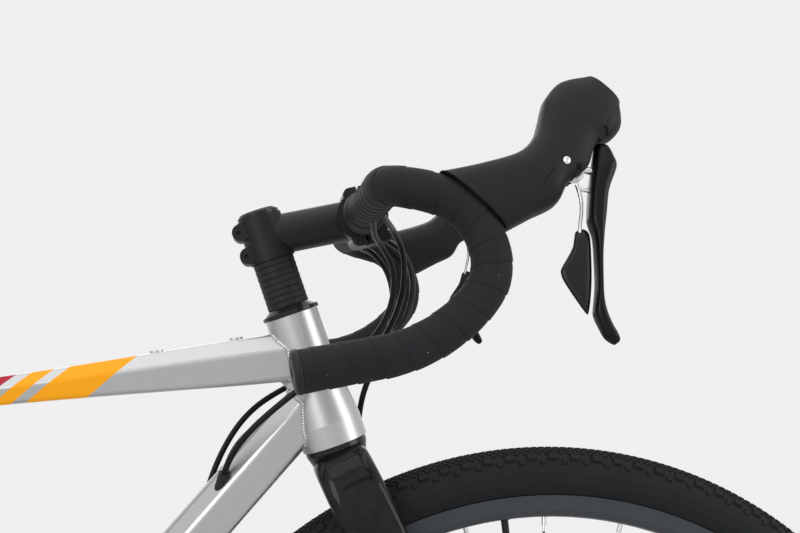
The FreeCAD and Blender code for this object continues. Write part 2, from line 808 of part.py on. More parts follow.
def hood_wire(top, bottom, width, corner, inset=0.0):
    """Section of the hood between a top and a bottom point of the drop's plane."""
    upper = drop_spot(*top)
    lower = drop_spot(*bottom)
    height = (upper - lower).Length - 2 * inset
    corners = box_corners(width - 2 * inset, height)
    return rounded_wire(corners, corner - inset, (upper + lower) / 2, hook_out, unit(upper - lower))


hood_stations = [
    ((33.5, 7), (76.7, -33), 32.0, 12.5),
    ((60, 13), (95, -20), 34.5, 13.0),
    ((86, 20), (112, -8), 36.0, 13.0),
    ((98, 32), (120, 8), 35.0, 12.0),
    ((103, 46), (131, 26), 33.0, 12.0),
    ((108, 62), (151, 36), 31.0, 12.0),
    ((120, 73.5), (157, 44), 28.0, 11.0),
    ((137, 77.5), (157.5, 57.5), 21.0, 8.0),
]


def eased(values, share):
    """Smooth curve through listed values, at a share counted in steps."""
    last = len(values) - 1
    i = min(int(share), last - 1)
    t = share - i
    a, b, c, d = values[max(i - 1, 0)], values[i], values[i + 1], values[min(i + 2, last)]
    return 0.5 * (2 * b + (c - a) * t + (2 * a - 5 * b + 4 * c - d) * t ** 2 + (3 * b - a - 3 * c + d) * t ** 3)


def hood_rows():
    """The listed hood sections with one more between each pair, so that the loft doesn't swell."""
    columns = list(zip(*[(*top, *bottom, width, corner) for top, bottom, width, corner in hood_stations]))
    rows = []
    for step in range(2 * len(hood_stations) - 1):
        top_ahead, top_up, low_ahead, low_up, width, corner = [eased(column, step / 2) for column in columns]
        rows.append(((top_ahead, top_up), (low_ahead, low_up), width, corner))
    return rows


def hood_outside(inset=0.0):
    return lofted([hood_wire(top, bottom, width, corner, inset) for top, bottom, width, corner in hood_rows()])


def lever_set():
    """Hood, bracket, yoke, brake blade and shift paddle of the right lever, and the trimmed right tape."""
    bar_space = tape_bore()
    outside = hood_outside()
    inside = hood_outside(hood_wall)
    band_turn = math.radians(34)
    band_heading = ramp_heading * math.cos(band_turn) + hook_down * math.sin(band_turn)
    band_spot = ramp_end + (ramp_heading * math.sin(band_turn)
                            + hook_down * (1 - math.cos(band_turn))) * bar_upper_hook_radius
    band = disc_between(band_spot, band_heading, bar_radius + band_lift, bar_radius + 0.6, band_width)
    band_space = disc_between(band_spot, band_heading, bar_radius + band_lift + snug_gap, bar_radius + 0.5,
                              band_width + 2 * snug_gap)
    tape = largest(tape_outside().cut([bar_space, outside, band_space]))

    pivot = drop_spot(*lever_pivot)
    pin_half = 0.5 * 35.0
    pin = rod(pivot - hook_out * pin_half, pivot + hook_out * pin_half, lever_pin_radius)
    pin_hole = rod(pivot - hook_out * 40, pivot + hook_out * 40, lever_pin_radius + running_fit)
    slot_corners = [(104, 2), (104, 30), (139, 30), (139, -6), (118, -8)]
    slot_points = [drop_spot(*corner) for corner in slot_corners]
    slot = plane_prism(slot_points, yoke_width + 2 * part_gap)
    hood = largest(outside.cut([bar_space, inside, pin_hole, slot, band_space]))
    bracket = largest(inside.cut([bar_space, pin_hole, slot, band_space]))

    yoke_points = [drop_spot(*c) for c in [(110, 9), (109, 18), (112, 25), (120, 26), (130.5, 22), (130.5, 4), (122, 5)]]
    swing_start = drop_spot(127, 13.4)
    swing_end = drop_spot(143, 10.6)
    yoke = plane_prism(yoke_points, yoke_width).fuse(rod(swing_start, swing_end, swing_pin_radius))
    yoke = yoke.cut(pin_hole)
    swing_bore = rod(drop_spot(127, 13.4), drop_spot(144, 10.42), swing_pin_radius + running_fit)

    blade_stations = [
        ((134, 24.5), (145, 28), 14.0, 4.0),
        ((131.5, 12), (149, 15), 18.0, 5.5),
        ((131.3, -2), (145, -1), 17.0, 5.5),
        ((131.0, -18), (142.5, -18), 16.0, 4.5),
        ((133.6, -36), (141, -36), 14.0, 3.2),
        ((134.9, -60), (140.6, -60), 13.0, 2.6),
        ((134.6, -80), (141.4, -78), 13.0, 2.8),
        ((136.6, -93), (143.2, -89), 12.0, 2.8),
        ((141, -101), (146, -96.6), 10.0, 2.4),
        ((145.4, -105), (147.8, -101.4), 7.0, 1.6),
    ]
    blade = lofted([hood_wire(rear, front, width, corner) for rear, front, width, corner in blade_stations])
    paddle_pin_start = drop_spot(126.6, -1.0)
    paddle_pin_end = drop_spot(137.0, -2.8)
    paddle_bore = rod(paddle_pin_start, drop_spot(138.0, -2.97), 1.5 + running_fit)
    blade = blade.cut([swing_bore, paddle_bore])

    paddle_points = [drop_spot(*c) for c in [(123.5, -30), (129.8, -27), (131.8, -34), (132.2, -66), (130.6, -87),
                                             (125, -80), (114, -58), (115.5, -50)]]
    paddle = plane_prism(paddle_points, paddle_thickness, 3.0)
    arm_points = [drop_spot(*c) for c in [(124.5, 2), (129.5, 2), (130, -14), (129.5, -32), (125, -32), (125.5, -14)]]
    arm = plane_prism(arm_points, 2.6, 1.5)
    paddle = paddle.fuse([arm, rod(paddle_pin_start, paddle_pin_end, 1.5)])
    return {
        "tape": tape,
        "hood": hood,
        "bracket": [bracket, pin, band],
        "yoke": yoke,
        "blade": blade,
        "paddle": paddle,
    }


def plane_prism(spots, thickness, corner=2.5):
    """Plate in the right drop's plane, centred on it, through the given spots."""
    origin = spots[0]
    corners = [((spot - origin).dot(ramp_heading), (spot - origin).dot(hook_down)) for spot in spots]
    return plate(corners, corner, origin, ramp_heading, hook_down, thickness)


def end_plug():
    edges, end, heading = bar_route(bar_bulge_half + bar_taper_length, bar_tail_length)
    flange = rod(end, end + heading * end_plug_thickness, bar_radius + tape_thickness)
    stub = rod(end - heading * 14, end, bar_radius - bar_wall - snug_gap)
    return flange.fuse(stub)


# Wheels
rim_outer_radius = bead_seat_radius + rim_flange_height
rim_inner_radius = rim_outer_radius - rim_depth


def ring_solid(profile, axle):
    return turned(profile, axle, ACROSS)


def rim(axle, spoke_lines):
    half = rim_width / 2
    lip = 2.2
    bed = bead_seat_radius - 4.5
    outside = ring_solid([
        (rim_outer_radius, half),
        (rim_outer_radius, half - lip),
        (bead_seat_radius, half - lip),
        (bead_seat_radius - 0.5, 6.0),
        (bed, 5.0),
        (bed, -5.0),
        (bead_seat_radius - 0.5, -6.0),
        (bead_seat_radius, lip - half),
        (rim_outer_radius, lip - half),
        (rim_outer_radius, -half),
        (rim_inner_radius + 7.0, 0.6 - half),
        (rim_inner_radius + 1.5, -0.66 * half),
        (rim_inner_radius, -0.3 * half),
        (rim_inner_radius, 0.3 * half),
        (rim_inner_radius + 1.5, 0.66 * half),
        (rim_inner_radius + 7.0, half - 0.6),
    ], axle)
    cavity = ring_solid([
        (bed - rim_wall, 9.0),
        (bed - rim_wall, -9.0),
        (rim_inner_radius + rim_wall + 1.5, -7.0),
        (rim_inner_radius + rim_wall, -3.5),
        (rim_inner_radius + rim_wall, 3.5),
        (rim_inner_radius + rim_wall + 1.5, 7.0),
    ], axle)
    holes = [rod(start - unit(end - start) * 4, end + unit(end - start) * 2, nipple_diameter / 2 + snug_gap)
             for start, end in spoke_lines]
    solid = outside.cut(cavity)
    for hole in holes:
        solid = solid.cut(hole)
    return solid


def tyre(axle):
    """Open casing whose beads sit in the rim, with a round crown."""
    radius = tyre_width / 2
    centre = tyre_radius - radius
    inner = radius - tyre_wall
    bead_y = rim_width / 2 - 2.2 - 0.4
    lip_r = rim_outer_radius + 0.6

    def spot(r, y):
        return axle + UP * r + ACROSS * y

    def on_circle(size, r):
        return math.sqrt(size ** 2 - (centre - r) ** 2)

    outer_r = rim_outer_radius + 3.0
    inner_r = rim_outer_radius + 4.5
    outer_y = on_circle(radius, outer_r)
    inner_y = on_circle(inner, inner_r)
    bead_r = bead_seat_radius + 0.3
    trail = [(outer_r, -outer_y), (lip_r, -rim_width / 2 - 0.3), (lip_r, -bead_y), (bead_r, -bead_y),
             (bead_r, 4.4 - bead_y), (bead_r + 5.0, 3.4 - bead_y), (inner_r, -inner_y)]
    edges = [arc(spot(outer_r, outer_y), spot(tyre_radius, 0), spot(outer_r, -outer_y))]
    edges += [line(spot(*a), spot(*b)) for a, b in zip(trail[:-1], trail[1:])]
    edges.append(arc(spot(inner_r, -inner_y), spot(centre + inner, 0), spot(inner_r, inner_y)))
    back = [(r, -y) for r, y in reversed(trail)]
    edges += [line(spot(*a), spot(*b)) for a, b in zip(back[:-1], back[1:])]
    return Part.Face(Part.Wire(edges)).revolve(axle, ACROSS, 360)


def wheel_spot(axle, radius, degrees, y):
    return axle + Vector(radius * cosine(degrees), y, radius * sine(degrees))


def spokes(axle, flanges, hole_radius):
    """Crossed spokes with bent heads and their nipples, and each nipple's line for the rim's holes."""
    solids = []
    nipple_lines = []
    per_side = spoke_count // 2
    step = 360 / per_side
    reach = spoke_crossings * step
    wire = spoke_diameter / 2
    for flange_y in flanges:
        side = 1 if flange_y > 0 else -1
        offset = 0 if side > 0 else step / 2
        for family, turn in ((0, 1), (1, -1)):
            hub_angle = offset + family * step
            outward = 1 if family == 0 else -1
            clear = 1.8 if family == 0 else 0.4
            y = flange_y + side * outward * (flange_thickness / 2 + wire + clear)
            other = flange_y - side * outward * (flange_thickness / 2 + 0.2)
            hub = wheel_spot(axle, hole_radius, hub_angle, y)
            head = wheel_spot(axle, hole_radius, hub_angle, other)
            knob = wheel_spot(axle, hole_radius, hub_angle, other - side * outward * 1.4)
            seat = wheel_spot(axle, rim_inner_radius, hub_angle + turn * reach, side * nipple_offset)
            along = unit(seat - hub)
            base = seat - along * (nipple_length - 4.0)
            tip = seat + along * 4.0
            spoke = rod(hub, base + along * 6, wire)
            spoke = spoke.fuse([Part.makeSphere(wire, hub), rod(hub, head, wire), rod(head, knob, 1.8 * wire)])
            nipple = rod(base, tip, nipple_diameter / 2).fuse(rod(seat + along * 2.6, tip, nipple_diameter / 2 + 0.9))
            nipple = nipple.cut(rod(base - along, base + along * 7, wire + running_fit))
            for i in range(spoke_count // 4):
                angle = -i * 2 * step
                solids.append(around(spoke, axle, ACROSS, angle))
                solids.append(around(nipple, axle, ACROSS, angle))
                spin = FreeCAD.Rotation(ACROSS, angle)
                nipple_lines.append((axle + spin.multVec(base - axle), axle + spin.multVec(tip - axle)))
    return solids, nipple_lines


def hub(axle, profile, flanges, hole_radius):
    """Hub shell turned about the axle, with a ring of spoke holes in each flange."""
    body = ring_solid(profile, axle)
    holes = []
    per_side = spoke_count // 2
    for flange_y in flanges:
        offset = 0 if flange_y > 0 else 180 / per_side
        for i in range(per_side):
            angle = offset + i * 360 / per_side
            start = wheel_spot(axle, hole_radius, angle, flange_y - flange_thickness)
            end = wheel_spot(axle, hole_radius, angle, flange_y + flange_thickness)
            holes.append(rod(start, end, spoke_diameter / 2 + 0.2))
    return body.cut(holes)


def rotor(axle, y, carrier_radius):
    """Disc brake rotor: drilled ring, six slanted arms and the carrier that sits on the hub."""
    centre = axle + ACROSS * y
    outer = rotor_diameter / 2
    inner = outer - 15.0
    ring = disc_between(centre, ACROSS, outer, inner, rotor_thickness)
    carrier = disc_between(centre, ACROSS, carrier_radius + 9.0, carrier_radius, rotor_thickness)
    arms = []
    holes = []
    arm_count = 6
    for i in range(arm_count):
        angle = i * 360 / arm_count
        foot = wheel_spot(centre, carrier_radius + 6.0, angle, 0)
        tip = wheel_spot(centre, inner + 3.0, angle + 34, 0)
        run = unit(tip - foot)
        corners = box_corners((tip - foot).Length, 7.0)
        arms.append(plate(corners, 1.0, (foot + tip) / 2, run, unit(run.cross(ACROSS)), rotor_thickness))
        for j, depth in enumerate((4.0, 7.5, 11.0)):
            for half in (0, 30):
                spot = wheel_spot(centre, outer - depth, angle + half + 9 * j, 0)
                holes.append(rod(spot - ACROSS * 3, spot + ACROSS * 3, 1.9))
    return ring.fuse([carrier] + arms).cut(holes)


def caliper(axle, degrees, rotor_y, feet, holder):
    """Two-bolt caliper over the rotor's edge, with its pads either side of the disc and two mounting feet."""
    out = Vector(cosine(degrees), 0, sine(degrees))
    along = Vector(-sine(degrees), 0, cosine(degrees))
    middle = axle + out * (rotor_diameter / 2 - 5.0) + ACROSS * rotor_y
    body = plate(box_corners(caliper_length, caliper_height), 7.0, middle, along, out, caliper_width)
    hump = plate(box_corners(0.7 * caliper_length, caliper_height + 4.0), 8.0, middle + out * 2.0, along, out,
                 0.8 * caliper_width)
    slot_width = rotor_thickness + 2 * (seat_gap + pad_thickness + snug_gap)
    slot = plate(box_corners(30, 30), 2.0, middle - out * 8.0, along, out, slot_width)
    way = plate(box_corners(2 * caliper_length, 32), 1.0, middle - out * 8.0, along, out, rotor_thickness + 2.4)
    body = largest(body.fuse(hump).cut([slot, way]))
    solids = [body]
    for side in (-1, 1):
        shift = ACROSS * (side * (rotor_thickness / 2 + seat_gap + pad_thickness / 2))
        solids.append(plate(box_corners(28, 20), 3.0, middle - out * 4.0 + shift, along, out, pad_thickness))
    for start, end in feet:
        solids.append(largest(rod(axle + start, axle + end, 4.5).cut([body] + holder)))
    return solids


# Chain, sprockets and derailleurs
def sprocket_radius(teeth):
    return chain_pitch / (2 * math.sin(math.pi / teeth))


def sprocket(teeth, centre, phase, bore, thickness):
    """Toothed disc whose seats stand at the phase angle and every tooth after it."""
    pitch_radius = sprocket_radius(teeth)
    seat = roller_radius + snug_gap
    step = 360 / teeth
    spread = 62
    tip_half = 1.0 / (pitch_radius + tooth_height)
    edges = []
    last = None
    first = None

    def spot(radius, degrees):
        return centre + Vector(radius * cosine(degrees), 0, radius * sine(degrees))

    for i in range(teeth):
        angle = phase + i * step
        roller = spot(pitch_radius, angle)
        inward = [roller + Vector(seat * cosine(angle + 180 + turn), 0, seat * sine(angle + 180 + turn))
                  for turn in (spread, 0, -spread)]
        tip_angle = angle + step / 2
        tip_one = spot(pitch_radius + tooth_height, tip_angle - math.degrees(tip_half))
        tip_two = spot(pitch_radius + tooth_height, tip_angle + math.degrees(tip_half))
        if last is not None:
            edges.append(line(last, inward[0]))
        else:
            first = inward[0]
        edges.append(arc(inward[0], inward[1], inward[2]))
        edges.append(line(inward[2], tip_one))
        edges.append(line(tip_one, tip_two))
        last = tip_two
    edges.append(line(last, first))
    disc = Part.Face(Part.Wire(edges))
    disc.translate(ACROSS * (-thickness / 2))
    solid = disc.extrude(ACROSS * thickness)
    return solid.cut(rod(centre - ACROSS * thickness, centre + ACROSS * thickness, bore))


guide_centre = rear_axle + Vector(guide_pulley_ahead, 0, -guide_pulley_below)


def tension_centre(cage_angle):
    return guide_centre + Vector(sine(cage_angle), 0, -cosine(cage_angle)) * cage_length


def chain_course(cage_angle):
    """Runs and arcs of the chain: cog, ring, tension pulley and guide pulley in turn."""
    pulley = sprocket_radius(pulley_teeth)
    wheels = [
        (rear_axle, sprocket_radius(cog_teeth[driven_cog]), 1),
        (bb_centre, sprocket_radius(big_ring_teeth), 1),
        (tension_centre(cage_angle), pulley, 1),
        (guide_centre, pulley, -1),
    ]
    tangents = []
    for i, (centre, radius, turn) in enumerate(wheels):
        to_centre, to_radius, to_turn = wheels[(i + 1) % len(wheels)]
        gap = to_centre - centre
        heading = math.atan2(gap.z, gap.x) - math.asin((turn * radius - to_turn * to_radius) / gap.Length)
        normal = Vector(-math.sin(heading), 0, math.cos(heading))
        tangents.append((centre + normal * (turn * radius), to_centre + normal * (to_turn * to_radius)))
    course = []
    for i, (centre, radius, turn) in enumerate(wheels):
        arrive = tangents[i - 1][1] - centre
        leave = tangents[i][0] - centre
        start = math.atan2(arrive.z, arrive.x)
        sweep = (turn * (start - math.atan2(leave.z, leave.x))) % (2 * math.pi)
        course.append(("arc", centre, radius, turn, start, sweep, radius * sweep))
        run = tangents[i][1] - tangents[i][0]
        course.append(("run", tangents[i][0], unit(run), run.Length))
    return course


def on_course(course, distance):
    for piece in course:
        if distance <= piece[-1] or piece is course[-1]:
            break
        distance -= piece[-1]
    if piece[0] == "run":
        return piece[1] + piece[2] * distance
    angle = piece[4] - piece[3] * distance / piece[2]
    return piece[1] + Vector(math.cos(angle), 0, math.sin(angle)) * piece[2]


def chain_march(cage_angle, links):
    """Pin centres one pitch apart along the course, and how far the last one misses the first."""
    course = chain_course(cage_angle)
    total = sum(piece[-1] for piece in course)
    place = 0.0
    pins = [on_course(course, 0.0)]
    for i in range(links):
        low = place + chain_pitch * 0.99
        high = place + chain_pitch * 1.10
        for trial in range(34):
            middle = (low + high) / 2
            chord = (on_course(course, middle % total) - pins[-1]).Length
            if chord < chain_pitch:
                low = middle
            else:
                high = middle
        place = (low + high) / 2
        pins.append(on_course(course, place % total))
    return pins[:-1], place - total


def closed_chain():
    """Cage angle at which the chain closes on a whole even number of links, and its pins."""
    nominal = 22.0
    total = sum(piece[-1] for piece in chain_course(nominal))
    links = 2 * round(total * 0.997 / chain_pitch / 2)
    low = nominal - 14.0
    high = nominal + 14.0
    rising = chain_march(high, links)[1] > chain_march(low, links)[1]
    for trial in range(30):
        middle = (low + high) / 2
        miss = chain_march(middle, links)[1]
        if (miss < 0) == rising:
            low = middle
        else:
            high = middle
    angle = (low + high) / 2
    pins, miss = chain_march(angle, links)
    print("chain links", links, "cage angle", round(angle, 3), "closing miss", round(miss, 6))
    return angle, pins


def phase_on(centre, pins, radius):
    """Angle of a pin that lies on the pitch circle round the centre."""
    for pin in pins:
        spoke = pin - centre
        if abs(spoke.Length - radius) < 0.001:
            return math.degrees(math.atan2(spoke.z, spoke.x))
    return 0.0


def chain(pins):
    """Inner and outer links in turn, each on two pins."""
    plane = ACROSS * -chain_line
    inner_plate = 0.7
    inner_y = 1.15
    outer_y = inner_y + inner_plate + 0.2
    pin_radius = 1.75
    centre = Vector(0, 0, 0)
    far = AHEAD * chain_pitch

    def side_plate(waist, size, y, thickness):
        lobes = [rod(spot + ACROSS * y, spot + ACROSS * (y + thickness), size) for spot in (centre, far)]
        corners = box_corners(chain_pitch, waist)
        web = plate(corners, 0.5, far / 2 + ACROSS * (y + thickness / 2), AHEAD, UP, thickness)
        return lobes[0].fuse([lobes[1], web])

    inner = side_plate(6.0, 3.9, inner_y, inner_plate)
    inner = inner.fuse([side_plate(6.0, 3.9, -inner_y - inner_plate, inner_plate)])
    rollers = [rod(spot - ACROSS * inner_y, spot + ACROSS * inner_y, roller_radius) for spot in (centre, far)]
    bores = [rod(spot - ACROSS * 6, spot + ACROSS * 6, pin_radius + running_fit) for spot in (centre, far)]
    inner = inner.fuse(rollers).cut(bores)
    outer = side_plate(5.6, 3.8, outer_y, inner_plate)
    outer = outer.fuse([side_plate(5.6, 3.8, -outer_y - inner_plate, inner_plate)])
    reach = outer_y + inner_plate + 0.15
    outer = outer.fuse([rod(spot - ACROSS * reach, spot + ACROSS * reach, pin_radius) for spot in (centre, far)])
    links = []
    for i, pin in enumerate(pins):
        run = pins[(i + 1) % len(pins)] - pin
        link = (inner if i % 2 == 0 else outer).copy()
        link.rotate(centre, ACROSS, -math.degrees(math.atan2(run.z, run.x)))
        link.translate(pin + plane)
        links.append(link)
    return links


def cassette(phase):
    """Cogs and spacers on the freehub body, held by a lockring."""
    outer_y = chain_line + driven_cog * cog_pitch
    core_radius = 15.5
    solids = []
    for i, teeth in enumerate(cog_teeth):
        y = -(outer_y - i * cog_pitch)
        turn = phase if i == driven_cog else 90.0
        solids.append(sprocket(teeth, rear_axle + ACROSS * y, turn, core_radius + running_fit, tooth_thickness))
        if i > 0:
            solids.append(disc_between(rear_axle + ACROSS * (y - cog_pitch / 2), ACROSS, core_radius + 2.4,
                                       core_radius + running_fit, cog_pitch - tooth_thickness))
    inner_y = outer_y - (len(cog_teeth) - 1) * cog_pitch - tooth_thickness / 2 - 1.0
    edge_y = outer_y + tooth_thickness / 2
    core = turned([
        (axle_radius + running_fit, -(rear_spacing / 2 - seat_gap)),
        (10.0, -(rear_spacing / 2 - seat_gap)),
        (10.0, -edge_y),
        (core_radius, -edge_y),
        (core_radius, -inner_y),
        (axle_radius + running_fit, -inner_y),
    ], rear_axle, ACROSS)
    lockring = turned([
        (10.0 + running_fit, -edge_y - 2.2),
        (15.0, -edge_y - 2.2),
        (17.0, -edge_y),
        (10.0 + running_fit, -edge_y),
    ], rear_axle, ACROSS)
    return solids + [core, lockring], inner_y


def capsule(start, end, axis, radius, thickness):
    """Flat link with round ends between two centres, thickness centred along the axis."""
    half = axis * (thickness / 2)
    run = unit(end - start)
    web = plate(box_corners((end - start).Length, 2 * radius), 0.05, (start + end) / 2, run, unit(axis.cross(run)),
                thickness)
    return rod(start - half, start + half, radius).fuse([rod(end - half, end + half, radius), web]).removeSplitter()


ring_bolt_radius = 62.0
small_ring_bolt_radius = 41.0
spider_angles = (45, 135, 225, 315)
spider_y = -(chain_line - ring_spacing / 2)
cup_reach = 9.8
crank_boss_y = bb_shell_width / 2 + cup_reach + part_gap


def ring_bolts(grow):
    bolts = []
    for angle in spider_angles:
        big = wheel_spot(bb_centre, ring_bolt_radius, angle, spider_y)
        small = wheel_spot(bb_centre, small_ring_bolt_radius, angle, spider_y)
        outer_half = ring_spacing / 2 + ring_thickness / 2 + 0.8
        bolts.append(rod(big - ACROSS * outer_half, big + ACROSS * (ring_spacing / 2 - 1.0), 4.0 + grow))
        bolts.append(rod(small - ACROSS * (ring_spacing / 2 - 1.0), small + ACROSS * outer_half, 4.0 + grow))
    return bolts


def chainrings(phase):
    """Outer and inner rings on the spider, and the bolts that hold them."""
    solids = []
    holes = ring_bolts(snug_gap)
    for teeth, y, bore, rim_radius, turn in [
        (big_ring_teeth, -chain_line, ring_bolt_radius - 7.0, sprocket_radius(big_ring_teeth) - 7.0, phase),
        (small_ring_teeth, -chain_line + ring_spacing, small_ring_bolt_radius - 7.0,
         sprocket_radius(small_ring_teeth) - 7.0, 0.0),
    ]:
        centre = bb_centre + ACROSS * y
        toothed = sprocket(teeth, centre, turn, bore, tooth_thickness)
        thick = disc_between(centre, ACROSS, rim_radius, bore, ring_thickness)
        solids.append(toothed.fuse(thick).cut(holes))
    return solids + ring_bolts(0.0)


def crank_arm(side):
    """Arm with its boss and pedal axle: the right arm points ahead and the left one back."""
    heading = AHEAD * -side
    face = side * (crank_stance + crank_arm_thickness / 2)
    centre = bb_centre + ACROSS * face
    corners = [(-19, -17), (30, -16), (crank_length + 13, -12), (crank_length + 13, 12), (30, 16), (-19, 17)]
    arm = plate(corners, 11.0, centre, heading, UP, crank_arm_thickness)
    boss = rod(bb_centre + ACROSS * (side * crank_boss_y), bb_centre + ACROSS * (side * crank_stance), 17.5)
    pedal_eye = bb_centre + heading * crank_length
    outer = crank_stance + crank_arm_thickness
    axle = rod(pedal_eye + ACROSS * (side * crank_stance), pedal_eye + ACROSS * (side * (outer + pedal_length)), 5.0)
    collar = rod(pedal_eye + ACROSS * (side * outer), pedal_eye + ACROSS * (side * (outer + 5.0)), 7.5)
    return arm.fuse([boss, axle, collar])


def right_crank():
    arms = []
    for angle in spider_angles:
        foot = wheel_spot(bb_centre, 10.0, angle, spider_y)
        tip = wheel_spot(bb_centre, ring_bolt_radius, angle, spider_y)
        arms.append(capsule(foot, tip, ACROSS, 8.5, ring_spacing - ring_thickness - 2 * snug_gap))
    hollow = rod(bb_centre - ACROSS * 200, bb_centre, spindle_diameter / 2 + running_fit)
    cover = rod(bb_centre - ACROSS * (crank_stance + crank_arm_thickness),
                bb_centre - ACROSS * (crank_stance + crank_arm_thickness - 2.0), 14.0)
    body = crank_arm(-1).fuse(arms)
    return body.cut([hollow] + ring_bolts(snug_gap)).fuse(cover)


def left_crank():
    spindle = rod(bb_centre - ACROSS * (crank_stance + crank_arm_thickness - 2.5), bb_centre + ACROSS * crank_stance,
                  spindle_diameter / 2)
    return crank_arm(1).fuse(spindle)


def bottom_bracket_cups():
    cups = []
    for side in (-1, 1):
        face = bb_centre + ACROSS * (side * bb_shell_width / 2)
        outer = face + ACROSS * (side * cup_reach)
        inner = face - ACROSS * (side * 14.0)
        cup = rod(face, outer, cup_radius).fuse(rod(inner, face, bb_shell_radius - 4.0 - snug_gap))
        bore = rod(inner - ACROSS * side, outer + ACROSS * side, spindle_diameter / 2 + running_fit)
        cups.append(cup.cut(bore))
    return cups


def pedal(side):
    """Open platform that turns on the axle in the crank's end."""
    eye = bb_centre + AHEAD * (-side * crank_length)
    inner = crank_stance + crank_arm_thickness + 5.0 + part_gap
    centre = eye + ACROSS * (side * (inner + pedal_length / 2))
    corners = [(-pedal_width / 2, -0.36 * pedal_length), (-0.36 * pedal_width, -pedal_length / 2),
               (0.36 * pedal_width, -pedal_length / 2), (pedal_width / 2, -0.36 * pedal_length),
               (pedal_width / 2, 0.36 * pedal_length), (0.36 * pedal_width, pedal_length / 2),
               (-0.36 * pedal_width, pedal_length / 2), (-pedal_width / 2, 0.36 * pedal_length)]
    body = plate(corners, 8.0, centre, AHEAD, ACROSS, pedal_height)
    windows = []
    for ahead in (-1, 1):
        spot = centre + AHEAD * (ahead * pedal_width * 0.27)
        windows.append(plate(box_corners(0.27 * pedal_width, 0.72 * pedal_length), 6.0, spot, AHEAD, ACROSS,
                             2 * pedal_height))
    bore = rod(eye, eye + ACROSS * (side * 300), 5.0 + running_fit)
    return body.cut(windows + [bore])


# Rear and front derailleur
link_axis = unit(Vector(0, 0.6, 0.8))
knuckle_pin = guide_centre + Vector(-9, -(chain_line + 20.0), 22)
link_run = Vector(46, 12, -9)
body_pin = knuckle_pin - link_run
hanger_bolt = rear_axle + Vector(-8, -(rear_spacing + dropout_thickness) / 2, -28)
cage_offset = 4.6
cage_plate = 2.0


def pin_lugs(pin, beyond):
    """Fork of two lugs that holds a link's pin, joined by a bridge beyond the link's end."""
    pieces = []
    for sign in (-1, 1):
        near = pin + link_axis * (sign * 8.4)
        far = pin + link_axis * (sign * 12.4)
        pieces.append(rod(near, far, 6.0))
        spot = (near + far) / 2
        pieces.append(plate(box_corners(12.0, 8.0), 1.0, spot + beyond * 5.0, beyond,
                            unit(beyond.cross(link_axis)), 4.0))
    bridge = plate(box_corners(8.0, 24.8), 1.0, pin + beyond * 9.5, unit(beyond.cross(link_axis)), link_axis, 5.0)
    hole = rod(pin - link_axis * 20, pin + link_axis * 20, 2.4 + running_fit)
    return pieces[0].fuse(pieces[1:] + [bridge]), hole


def rear_derailleur():
    heading = unit(link_run)
    lugs, hole = pin_lugs(body_pin, heading * -1)
    outer_face = hanger_bolt - ACROSS * (dropout_thickness / 2)
    barrel = rod(outer_face, outer_face - ACROSS * 12, 11.0)
    neck = rod(hanger_bolt - ACROSS * 9.0, body_pin - heading * 11.0 + link_axis * 11.0, 4.8)
    half = link_axis * 8.0
    turning_room = rod(body_pin - half * 1.04, body_pin + half * 1.04, 5.4)
    body = lugs.fuse([barrel, neck]).cut([hole, turning_room])
    hanger_corners = [(-22, -42), (-2, -42), (12, -22), (6, -14), (-10, -14), (-20, -20)]
    hanger = plate(hanger_corners, 5.0, rear_axle + ACROSS * hanger_bolt.y, AHEAD, UP, dropout_thickness)
    hanger = hanger.cut(dropout(-1))

    pin_half = link_axis * 13.0
    arm = rod(body_pin - half, body_pin + half, 4.5)
    arm = arm.fuse([rod(knuckle_pin - half, knuckle_pin + half, 4.5),
                    plate(box_corners(link_run.Length, 16.0), 0.5, (body_pin + knuckle_pin) / 2, heading, link_axis,
                          8.0),
                    rod(body_pin - pin_half, body_pin + pin_half, 2.4),
                    rod(knuckle_pin - pin_half, knuckle_pin + pin_half, 2.4)])

    lugs, hole = pin_lugs(knuckle_pin, heading)
    plate_face = chain_line + cage_offset + cage_plate / 2
    barrel_start = guide_centre - ACROSS * (plate_face + seat_gap)
    barrel = rod(barrel_start, guide_centre - ACROSS * (chain_line + 29.0), 10.0)
    knuckle_neck = rod(knuckle_pin + heading * 9.5, guide_centre - ACROSS * (chain_line + 16.0), 6.0)
    swing_room = rod(knuckle_pin - half * 1.03, knuckle_pin + half * 1.03, 6.4)
    knuckle = lugs.fuse([barrel, knuckle_neck]).cut([hole, swing_room])
    return [largest(body), largest(hanger)], [arm], [largest(knuckle)]


def derailleur_cage(cage_angle):
    """Two plates that carry both pulleys, and the bolts that the pulleys turn on."""
    tension = tension_centre(cage_angle)
    plates = []
    for side in (-1, 1):
        shift = ACROSS * (-chain_line + side * cage_offset)
        plates.append(capsule(guide_centre + shift, tension + shift, ACROSS, 11.0 if side > 0 else 13.0, cage_plate))
    bolts = []
    for spot in (guide_centre, tension):
        reach = cage_offset + cage_plate / 2
        bolts.append(rod(spot - ACROSS * (chain_line + reach), spot - ACROSS * (chain_line - reach - 1.2), 3.0))
    holes = [rod(spot - ACROSS * 90, spot, 3.0 + running_fit) for spot in (guide_centre, tension)]
    return [solid.cut(holes) for solid in plates] + bolts


def pulley(centre, phase):
    spot = centre - ACROSS * chain_line
    toothed = sprocket(pulley_teeth, spot, phase, 3.0 + running_fit, tooth_thickness)
    hub_half = cage_offset - cage_plate / 2 - seat_gap
    return toothed.fuse(disc_between(spot, ACROSS, 7.0, 3.0 + running_fit, 2 * hub_half))


shifter_height = 175.0
shifter_pivot = on_seat_tube(shifter_height) + Vector(24, -30, -22)


